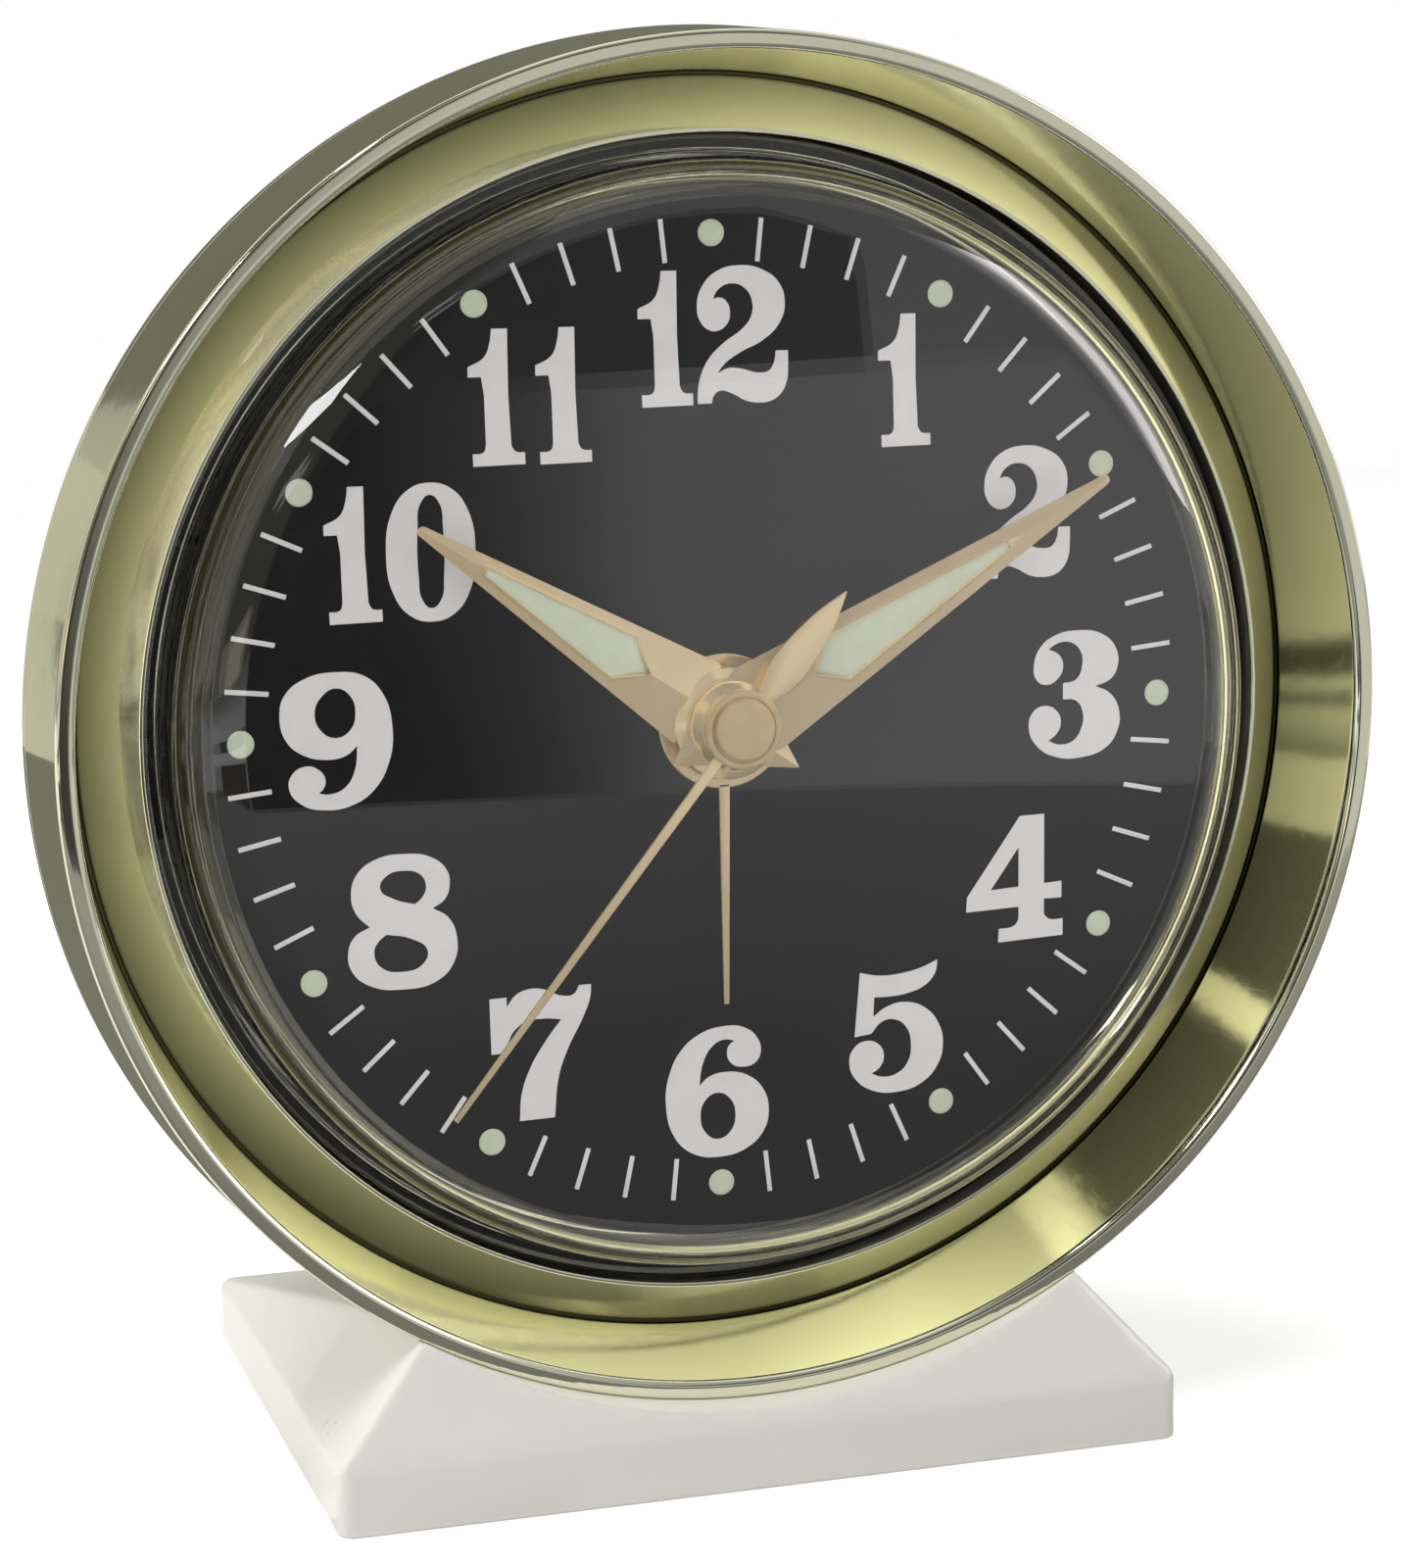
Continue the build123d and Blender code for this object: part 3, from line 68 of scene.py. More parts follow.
def gridMesh(points, wrapRows=False, wrapColumns=False):
    # points[row, column] joined to its neighbours; a wrapped way closes on itself
    rows, columns = points.shape[:2]
    r, c = np.meshgrid(np.arange(rows - (not wrapRows)), np.arange(columns - (not wrapColumns)), indexing="ij")
    nextRow, nextColumn = (r + 1) % rows, (c + 1) % columns
    corners = (r * columns + c, r * columns + nextColumn, nextRow * columns + nextColumn, nextRow * columns + c)
    faces = np.stack(corners, axis=-1).reshape(-1, 4)
    mesh = bpy.data.meshes.new("part")
    mesh.vertices.add(rows * columns)
    mesh.vertices.foreach_set("co", points.astype(np.float32).ravel())
    mesh.loops.add(faces.size)
    mesh.loops.foreach_set("vertex_index", faces.astype(np.int32).ravel())
    mesh.polygons.add(len(faces))
    mesh.polygons.foreach_set("loop_start", np.arange(0, faces.size, 4, dtype=np.int32))
    mesh.update(calc_edges=True)
    return mesh


def rounded(corners, steps=6, pad=0.12):
    # rows of (across, along, rounding): each corner is the arc between its two tangent points, found by
    # swinging one spoke of the arc into the other, with a short straight kept on both sides of it
    corners, tiny = np.array(corners, float), 1e-12
    point, size = corners[:, :2], corners[:, 2]
    before, after = np.roll(point, 1, 0) - point, np.roll(point, -1, 0) - point
    room = np.minimum(np.linalg.norm(before, axis=1), np.linalg.norm(after, axis=1))
    before /= np.linalg.norm(before, axis=1)[:, None] + tiny
    after /= np.linalg.norm(after, axis=1)[:, None] + tiny
    half = np.arccos(np.clip((before * after).sum(1), -1, 1)) / 2
    reach = size / np.tan(np.clip(half, 1e-3, None))
    bisector = before + after
    bisector /= np.linalg.norm(bisector, axis=1)[:, None] + tiny
    centre = point + bisector * (size / np.sin(half))[:, None]
    first, last = point + before * reach[:, None], point + after * reach[:, None]
    way = np.linspace(0, 1, steps)[None, :, None]
    sweep = np.clip(np.pi - 2 * half, 1e-6, None)[:, None, None]
    spokes = np.sin((1 - way) * sweep) * (first - centre)[:, None] + np.sin(way * sweep) * (last - centre)[:, None]
    arc = centre[:, None] + spokes / np.sin(sweep)
    lead = np.minimum(pad, 0.3 * np.clip(room - reach, 0, None))[:, None] * (size > 0)[:, None]
    line = np.concatenate([(first + before * lead)[:, None], arc, (last + after * lead)[:, None]], axis=1)
    line = line.reshape(-1, 2)
    keep = np.linalg.norm(line - np.roll(line, 1, 0), axis=1) > 1e-5
    return line[keep]


def disc(bore, radius, front, back, rounds, steps=6):
    # profile of a disc between two depths; rounds are those of its bore, its front rim and its back rim
    hole, frontRim, backRim = rounds
    return rounded([(bore, front, hole), (radius, front, frontRim), (radius, back, backRim), (bore, back, hole)], steps)


def cap(edge, rise, count=40):
    # points of a spherical cap from its edge to its pole: depth = pole + radius - sqrt(radius^2 - r^2)
    radius, depth = edge
    sphere = (radius**2 + rise**2) / (2 * rise)
    r = radius * np.linspace(1, 0, count)
    return np.stack([r, depth - rise + sphere - np.sqrt(sphere**2 - r**2)], axis=1)


def lathe(profile, spot=(0, 0), steps=256, wrap=True, flutes=None):
    # the profile (radius, depth) turned about the fore-and-aft line through spot
    turn = np.linspace(0, twoPi, steps, endpoint=False)[:, None]
    radius = profile[None, :, 0] + (0 * turn if flutes is None else flutes(turn, profile))
    depth = np.broadcast_to(profile[None, :, 1], radius.shape)
    x, z = spot[0] + radius * np.sin(turn), axisUp + spot[1] + radius * np.cos(turn)
    return gridMesh(np.stack([x, dialFace + depth, z], axis=-1), wrapRows=True, wrapColumns=wrap)


def ring(radius, count, spot=(0, 0)):
    # a circle of points about spot: spot + radius * (cos, sin)
    turn = np.linspace(0, twoPi, count, endpoint=False)
    return np.stack([spot[0] + radius * np.cos(turn), spot[1] + radius * np.sin(turn)], axis=1)


def arcLine(spot, radius, start, end, count=24):
    # points along an arc about spot, from start to end in degrees, anticlockwise from the right
    turn = np.radians(np.linspace(start, end, count))
    return np.stack([spot[0] + radius * np.cos(turn), spot[1] + radius * np.sin(turn)], axis=1)


def turned(points, angle):
    # points turned clockwise about the centre, angle from twelve
    s, c = np.sin(radians(angle)), np.cos(radians(angle))
    points = np.asarray(points, float)
    return np.stack([points[:, 0] * c + points[:, 1] * s, points[:, 1] * c - points[:, 0] * s], axis=1)


def closedEnds(points):
    # rows of a tube, with one more at each end that is drawn together to the middle
    ends = points.mean(axis=1, keepdims=True) + 0 * points
    return np.concatenate([ends[:1], points, ends[-1:]])


def placesOf(mesh):
    # the mesh's points, one row each
    places = np.empty(len(mesh.vertices) * 3, np.float32)
    mesh.vertices.foreach_get("co", places)
    return places.reshape(-1, 3)


def linked(name, data):
    # an object for the mesh, lamp or camera, in the scene
    made = bpy.data.objects.new(name, data)
    bpy.context.scene.collection.objects.link(made)
    return made


facing = Matrix(((1, 0, 0), (0, 0, -1), (0, 1, 0)))     # a drawing seen from the front
lying = Matrix(((1, 0, 0), (0, 1, 0), (0, 0, 1)))       # a drawing seen from above


def cutSheet(outlines, front, back, edge=0.05, layout=facing):
    # a flat drawing with holes, thickened between two depths, its edges rounded by a bevel
    curve = bpy.data.curves.new("drawing", "CURVE")
    curve.dimensions, curve.fill_mode = "2D", "BOTH"
    curve.extrude, curve.bevel_depth, curve.bevel_resolution = (back - front) / 2 - edge, edge, 2
    curve.offset = -edge
    for outline in outlines:
        spline = curve.splines.new("POLY")
        spline.points.add(len(outline) - 1)
        flat = np.zeros((len(outline), 4), np.float32)
        flat[:, :2], flat[:, 3] = outline, 1
        spline.points.foreach_set("co", flat.ravel())
        spline.use_cyclic_u = True
    return curveMesh(curve, (front + back) / 2, layout)


def curveMesh(curve, middle, layout=facing):
    # the drawing as a mesh, its middle at that depth, or at that height where it lies
    drawing = bpy.data.objects.new("drawing", curve)
    mesh = bpy.data.meshes.new_from_object(drawing)
    bpy.data.objects.remove(drawing)
    lift = (0, dialFace + middle, axisUp) if layout is facing else (0, dialFace, axisUp + middle)
    places = placesOf(mesh) @ np.array(layout, np.float32).T + lift
    mesh.vertices.foreach_set("co", places.astype(np.float32).ravel())
    return mesh


def piece(name, body, parts, finish, replaced=(), angle=32, weld=0.002):
    # the parts welded into one mesh, in metres, its faces outwards and its edges sharp past the angle
    shape = bmesh.new()
    for part in parts:
        shape.from_mesh(part)
        bpy.data.meshes.remove(part)
    bmesh.ops.remove_doubles(shape, verts=shape.verts, dist=weld)
    bmesh.ops.dissolve_degenerate(shape, edges=shape.edges, dist=1e-4)
    bmesh.ops.delete(shape, geom=[e for e in shape.edges if not e.link_faces], context="EDGES")
    bmesh.ops.recalc_face_normals(shape, faces=shape.faces)
    bmesh.ops.scale(shape, vec=(mm, mm, mm), verts=shape.verts)
    mesh = bpy.data.meshes.new(name)
    shape.to_mesh(mesh)
    shape.free()
    mesh.polygons.foreach_set("use_smooth", np.ones(len(mesh.polygons), bool))
    mesh.set_sharp_from_angle(angle=radians(angle))
    mesh.materials.append(finishes[finish])
    made = linked(name, mesh)
    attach(made, body)
    if replaced:
        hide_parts(*replaced)
    return made


# ---- shader helpers and groups

def put(tree, kind, at, props=None, **values):
    # a node on the editor's grid; a value named _6 goes to input 6, and Two_Words to the input called so
    node = tree.nodes.new("ShaderNode" + kind)
    node.location = (at[0] * 200, at[1] * 200)
    for name, value in (props or {}).items():
        setattr(node, name, value)
    fill(node, values)
    return node


def fill(node, values):
    for name, value in values.items():
        node.inputs[int(name[1:]) if name[0] == "_" else name.replace("_", " ")].default_value = value


def maths(tree, operation, at, clamp=False, **values):
    return put(tree, "Math", at, {"operation": operation, "use_clamp": clamp}, **values)


def wire(tree, *links):
    # each link is (node, output, node, input)
    for source, output, target, entry in links:
        tree.links.new(source.outputs[output], target.inputs[entry])


def newMaterial(name, **values):
    # a material, its node tree and its shader, with the values on the shader's own sockets
    made = bpy.data.materials.new(name)
    made.use_nodes = True
    shader = made.node_tree.nodes["Principled BSDF"]
    fill(shader, values)
    return made, made.node_tree, shader


def newGroup(name, output, **inputs):
    # a group of number sockets: each input with its first value, and one output
    tree = bpy.data.node_groups.new(name, "ShaderNodeTree")
    for label, value in inputs.items():
        tree.interface.new_socket(label, in_out="INPUT", socket_type="NodeSocketFloat").default_value = value
    tree.interface.new_socket(output, in_out="OUTPUT", socket_type="NodeSocketFloat")
    return tree, tree.nodes.new("NodeGroupInput"), tree.nodes.new("NodeGroupOutput")


def softMottle():
    # slow cloudy change, 0 to 1, for colour and gloss
    tree, given, out = newGroup("softMottle", "Value", Size=200.0, Contrast=1.0)
    place = put(tree, "TexCoord", (-3, 0))
    cloud = put(tree, "TexNoise", (-2, 0), Detail=4.0, Roughness=0.55)
    spread = maths(tree, "SUBTRACT", (-1, 0), _1=0.5)
    gain = maths(tree, "MULTIPLY", (0, 0))
    back = maths(tree, "ADD", (1, 0), True, _1=0.5)
    wire(tree, (place, "Object", cloud, "Vector"), (given, "Size", cloud, "Scale"), (cloud, "Fac", spread, 0),
         (spread, 0, gain, 0), (given, "Contrast", gain, 1), (gain, 0, back, 0), (back, 0, out, "Value"))
    return tree


def fineScratches():
    # thin random lines: the narrow valleys of a stretched, bent noise
    tree, given, out = newGroup("fineScratches", "Mask", Size=900.0, Width=0.03, Turn=0.6)
    place = put(tree, "TexCoord", (-5, 0))
    swing = put(tree, "VectorRotate", (-4, 0), {"rotation_type": "AXIS_ANGLE"}, Axis=(0.3, 1.0, 0.2))
    stretch = put(tree, "Mapping", (-3, 0), Scale=(1.0, 0.6, 0.06))
    lines = put(tree, "TexNoise", (-2, 0), Detail=1.0, Distortion=0.6)
    away = maths(tree, "SUBTRACT", (-1, 0), _1=0.5)
    size = maths(tree, "ABSOLUTE", (0, 0))
    thin = maths(tree, "DIVIDE", (1, 0))
    flip = maths(tree, "SUBTRACT", (2, 0), True, _0=1.0)
    wire(tree, (place, "Object", swing, "Vector"), (given, "Turn", swing, "Angle"), (swing, 0, stretch, "Vector"),
         (stretch, 0, lines, "Vector"), (given, "Size", lines, "Scale"), (lines, "Fac", away, 0), (away, 0, size, 0),
         (size, 0, thin, 0), (given, "Width", thin, 1), (thin, 0, flip, 1), (flip, 0, out, "Mask"))
    return tree


def turnedLines():
    # rings left by a lathe or a rotary brush about the fore-and-aft line through Right and Up:
    # a noise of the distance from that line, which drifts slowly with the angle round it
    tree, given, out = newGroup("turnedLines", "Height", Right=0.0, Up=0.0, Pitch=4000.0)
    place = put(tree, "TexCoord", (-7, 0))
    parts = put(tree, "SeparateXYZ", (-6, 0))
    right = maths(tree, "SUBTRACT", (-5, 1))
    up = maths(tree, "SUBTRACT", (-5, -1))
    flat = put(tree, "CombineXYZ", (-4, 0))
    far = put(tree, "VectorMath", (-3, 0), {"operation": "LENGTH"})
    angle = maths(tree, "ARCTAN2", (-3, -1))
    slow = maths(tree, "MULTIPLY", (-2, -1), _1=0.00035)
    both = put(tree, "CombineXYZ", (-1, 0))
    lines = put(tree, "TexNoise", (0, 0), Detail=3.0, Roughness=0.6)
    wire(tree, (place, "Object", parts, 0), (parts, "X", right, 0), (given, "Right", right, 1), (parts, "Z", up, 0),
         (given, "Up", up, 1), (right, 0, flat, "X"), (up, 0, flat, "Y"), (flat, 0, far, 0), (up, 0, angle, 0),
         (right, 0, angle, 1), (angle, 0, slow, 0), (far, "Value", both, "X"), (slow, 0, both, "Y"),
         (both, 0, lines, "Vector"), (given, "Pitch", lines, "Scale"), (lines, "Fac", out, "Height"))
    return tree


mottleGroup, scratchGroup, ringGroup = softMottle(), fineScratches(), turnedLines()

# what a finish has where its own look says nothing else
plainLook = dict(metal=0, specular=0.5, contrast=1.4, scratch=0, scratchSize=700.0, scratchWidth=0.02, relief=0.00002)


def finishOf(name, own):
    # one procedural finish: colour and gloss drift with the mottle, scratches dull it, grain gives the relief
    look = {**plainLook, **own}
    made, tree, shader = newMaterial(name, Metallic=look["metal"], Specular_IOR_Level=look["specular"])
    mottle = put(tree, "Group", (-5, 1), {"node_tree": mottleGroup}, Size=look["cloud"], Contrast=look["contrast"])
    scratch = put(tree, "Group", (-5, 0), {"node_tree": scratchGroup}, Size=look["scratchSize"],
                  Width=look["scratchWidth"])
    tint = put(tree, "Mix", (-3, 2), {"data_type": "RGBA"}, _6=(*look["low"], 1), _7=(*look["high"], 1))
    colour = (tint, 2)
    # painted shade: where the vertex attribute is set, the colour is darkened towards a dark brown, standing in for
    # shade in a narrow groove
    if "groove_shade" in look:
        shadeMask = put(tree, "Attribute", (-3, 3), {"attribute_name": "groove_shade"})
        shadedColour = put(tree, "Mix", (-2, 3), {"data_type": "RGBA"}, _7=(*look["groove_shade"], 1))
        wire(tree, (shadeMask, "Fac", shadedColour, 0), (*colour, shadedColour, 6))
        colour = (shadedColour, 2)
    gloss = put(tree, "MapRange", (-3, 1), To_Min=look["rough"][0], To_Max=look["rough"][1])
    dull = maths(tree, "MULTIPLY_ADD", (-2, 1), True, _1=look["scratch"])
    place = put(tree, "TexCoord", (-5, -1))
    grain = put(tree, "TexNoise", (-4, -1), Scale=look["grain"], Detail=3.0)
    relief = put(tree, "Bump", (-1, -1), Strength=look["bump"], Distance=look["relief"])
    height = (grain, "Fac")
    if "pitch" in look:
        rings = put(tree, "Group", (-4, -2), {"node_tree": ringGroup}, Up=axisUp * mm, Pitch=look["pitch"])
        both = maths(tree, "ADD", (-2, -1))
        wire(tree, (rings, "Height", both, 0), (*height, both, 1))
        height = (both, 0)
    wire(tree, (mottle, "Value", tint, 0), (*colour, shader, "Base Color"), (mottle, "Value", gloss, "Value"),
         (scratch, "Mask", dull, 0), (gloss, 0, dull, 2), (dull, 0, shader, "Roughness"),
         (place, "Object", grain, "Vector"), (*height, relief, "Height"), (relief, 0, shader, "Normal"))
    return made


looks = {
    "plinth": dict(low=(0.80, 0.775, 0.72), high=(0.83, 0.81, 0.76), rough=(0.26, 0.36), cloud=90, grain=2600,
                   bump=0.06, scratch=0.05),
    # the gilt's last colour is painted shade, the dark colour laid into the groove at the dish's foot
    "gilt": dict(low=(0.745, 0.74, 0.565), high=(0.775, 0.77, 0.60), rough=(0.03, 0.07), metal=1, cloud=60, grain=140,
                 bump=0.05, relief=0.0002, scratch=0.05, scratchWidth=0.01, groove_shade=(0.1, 0.09, 0.05)),
    "dial_black": dict(low=(0.0045, 0.0045, 0.005), high=(0.007, 0.007, 0.008), rough=(0.5, 0.58), cloud=40,
                       grain=3200, bump=0.01, specular=0.08),
    "lume": dict(low=(0.44, 0.48, 0.35), high=(0.52, 0.55, 0.42), rough=(0.6, 0.75), cloud=700, grain=5200,
                 bump=0.35, specular=0.3),
    "hand_gilt": dict(low=(0.82, 0.64, 0.36), high=(0.88, 0.72, 0.45), rough=(0.18, 0.28), metal=0.7, cloud=300,
                      grain=2500, bump=0.10, scratch=0.015),
    "cover_gilt": dict(low=(0.56, 0.53, 0.30), high=(0.63, 0.60, 0.36), rough=(0.24, 0.34), metal=1, cloud=70,
                       grain=900, bump=0.25, pitch=2600.0, scratch=0.03),
    "steel": dict(low=(0.40, 0.40, 0.41), high=(0.50, 0.50, 0.51), rough=(0.22, 0.34), metal=1, cloud=400, grain=3200,
                  bump=0.12, scratch=0.15),
    "blued": dict(low=(0.020, 0.035, 0.11), high=(0.045, 0.06, 0.16), rough=(0.2, 0.32), metal=1, cloud=260,
                  grain=3000, bump=0.08, scratch=0.12),
    "brass": dict(low=(0.55, 0.39, 0.14), high=(0.64, 0.47, 0.19), rough=(0.24, 0.36), metal=1, cloud=240, grain=2400,
                  bump=0.14, scratch=0.15),
    "bell_plate": dict(low=(0.60, 0.59, 0.58), high=(0.68, 0.67, 0.66), rough=(0.08, 0.16), metal=1, cloud=180,
                       grain=1400, bump=0.08, scratch=0.12),
    "print": dict(low=(0.58, 0.56, 0.55), high=(0.64, 0.62, 0.61), rough=(0.5, 0.6), cloud=500, grain=4200,
                  bump=0.2, specular=0.4),
    "brushed_cap": dict(low=(0.62, 0.46, 0.25), high=(0.74, 0.58, 0.34), rough=(0.28, 0.38), metal=0.75, cloud=500,
                        grain=2400, bump=0.4, pitch=9000.0, scratch=0.05),
}
crystalLook = dict(Base_Color=(0.985, 0.985, 0.99, 1), Roughness=0.0, IOR=1.25, Transmission_Weight=1.0, Metallic=0.0,
                   Coat_Weight=1.0, Coat_Roughness=0.0, Coat_IOR=1.5)


def crystalFinish(look):
    # clear moulded crystal with faint waves; shadow rays pass, so that the dial behind it is lit
    made, tree, shader = newMaterial("crystal", **look)
    place = put(tree, "TexCoord", (-4, 0))
    waves = put(tree, "TexNoise", (-3, 0), Scale=35.0, Detail=1.0)
    relief = put(tree, "Bump", (-2, 0), Strength=0.05, Distance=0.0002)
    rays = put(tree, "LightPath", (0, 2))
    clear = put(tree, "BsdfTransparent", (0, -1))
    mix = put(tree, "MixShader", (2, 0))
    wire(tree, (place, "Object", waves, "Vector"), (waves, "Fac", relief, "Height"), (relief, 0, shader, "Normal"),
         (rays, "Is Shadow Ray", mix, 0), (shader, 0, mix, 1), (clear, 0, mix, 2),
         (mix, 0, tree.nodes["Material Output"], "Surface"))
    return made


finishes = {name: finishOf(name, look) for name, look in looks.items()}
finishes["crystal"] = crystalFinish(crystalLook)
slotOf = {part["node"]: part["material_slot"] for part in frame["record"]["subparts"]}
for node, carried in frame["nodes"].items():
    for place in carried.material_slots:
        place.material = finishes[slotOf[node]]
print("finishes made")


# ---- bezel, case and lens; each corner of a section is (radius, depth, rounding)

bezelShape = {
    "sideBack": (50.4, 2.4, 0.08), "sideFront": (49.65, -8.7, 0.35), "rimInner": (48.3, -8.7, 0.5),
    "dishFoot": (47.0, 2.0, 0.12), "grooveOuter": (46.96, 2.35, 0.05), "grooveInner": (46.86, 2.35, 0.05),
    "ringFoot": (46.8, 2.15, 0.12), "crest": (42.95, -2.15, 0.1), "lipTop": (42.7, -2.15, 0.1),
    "lipFoot": (42.25, -0.9, 0.08), "lipBack": (42.25, -0.05, 0.08), "lensSeat": (42.95, -0.05, 0),
    "ringBack": (45.85, 3.6, 0), "dishBack": (47.5, 3.6, 0), "hollowFront": (48.7, -3.6, 0),
    "hollowBack": (48.7, 2.4, 0),
}
# where the groove's painted shade lies: the depths and radii over which it comes in and fades out
grooveShadeShape = {"depths": (1.95, 2.25), "radii": (46.5, 46.7, 47.1, 47.3)}
caseShape = {
    "spigotInner": (48.05, 1.2, 0), "spigotOuter": (48.7, 1.2, 0), "spigotFoot": (48.7, 2.4, 0),
    "sideFront": (50.4, 2.4, 0.12), "shoulder": (50.4, 6.1, 2.4), "cupFoot": (39.2, 6.1, 0.5),
    "cupRim": (38.6, 28.0, 0.25), "rimInner": (37.4, 28.0, 0.15), "ledgeOuter": (37.4, 26.2, 0),
    "ledgeBack": (36.4, 26.2, 0), "ledgeFront": (36.4, 25.0, 0), "ledgeFoot": (37.4, 23.8, 0),
    "cupFront": (37.4, 4.9, 0), "seatFoot": (41.6, 4.9, 0), "seatInner": (41.6, 0.8, 0), "seatOuter": (42.8, 0.8, 0),
    "seatBack": (42.8, 4.9, 0), "spigotBack": (48.05, 4.9, 0),
}
# the first corner of each line only gives the second its direction; the last is the shoulder under the dome
lensShape = {
    "outside": ((38.0, 0.8, 0), (42.9, 0.8, 0.1), (42.9, -0.2, 0.1), (41.4, -0.2, 0.25), (40.4, -7.3, 5.5)),
    "inside": ((42.0, 0.8, 0), (40.2, 0.8, 0.1), (39.2, -6.1, 4.2)), "rise": 2.9, "domeStart": 5,
}


def makeBezel(b, g):
    # side, rim, dish wall, groove, rising ring, crest and lip in front, and the hollow that the case fills
    made = piece("bezel_shell", "clock", [lathe(rounded(list(b.values()), 8), steps=320)], "gilt", ["bezel"])
    # painted shade in the groove at the dish's foot: the gilt's colour goes dark there, standing in for the shade in
    # the narrow recess; kept in a vertex attribute
    places = placesOf(made.data) / mm - (0, dialFace, axisUp)
    radius = np.hypot(places[:, 0], places[:, 2])
    groove_shade = np.interp(places[:, 1], g["depths"], [0, 1]) * np.interp(radius, g["radii"], [0, 1, 1, 0])
    made.data.attributes.new("groove_shade", "FLOAT", "POINT").data.foreach_set("value", groove_shade.astype(np.float32))


def makeLens(s):
    # flange, steep wall, rounded shoulder and a shallow dome, the same again one wall inside
    outer, inner = (cap(s[side][-1][:2], s["rise"])[s["domeStart"]:] for side in ("outside", "inside"))
    wall = rounded([*s["outside"], (*outer[0], 0)], 14)[1:]
    within = rounded([*s["inside"], (*inner[0], 0)], 12)[1:]
    profile = np.concatenate([inner[::-1], within[::-1][1:], wall, outer[1:]])
    piece("crystal_dome", "clock", [lathe(profile, wrap=False)], "crystal", ["lens"], angle=50)


makeBezel(bezelShape, grooveShadeShape)
piece("case_shell", "clock", [lathe(rounded(list(caseShape.values()), 10), steps=320)], "gilt", ["case_drum"])
makeLens(lensShape)
print("bezel, case and crystal made")


# ---- dial, print and dots

# a dot is a low pillow of paint, given by radius and depth: flat top and a soft edge
dialShape = {"radius": 39.8, "bore": 2.6, "sheet": 0.5, "rounds": (0.03, 0.12, 0.03), "dotCircle": 35.5,
             "dot": ((0, -0.12), (0.5, -0.118), (0.75, -0.105), (0.9, -0.075), (0.97, -0.04), (1.0, 0.0), (0, 0)),
             "tickInner": 33.55, "tickOuter": 36.75, "tickWidth": 0.36, "ink": 0.02}

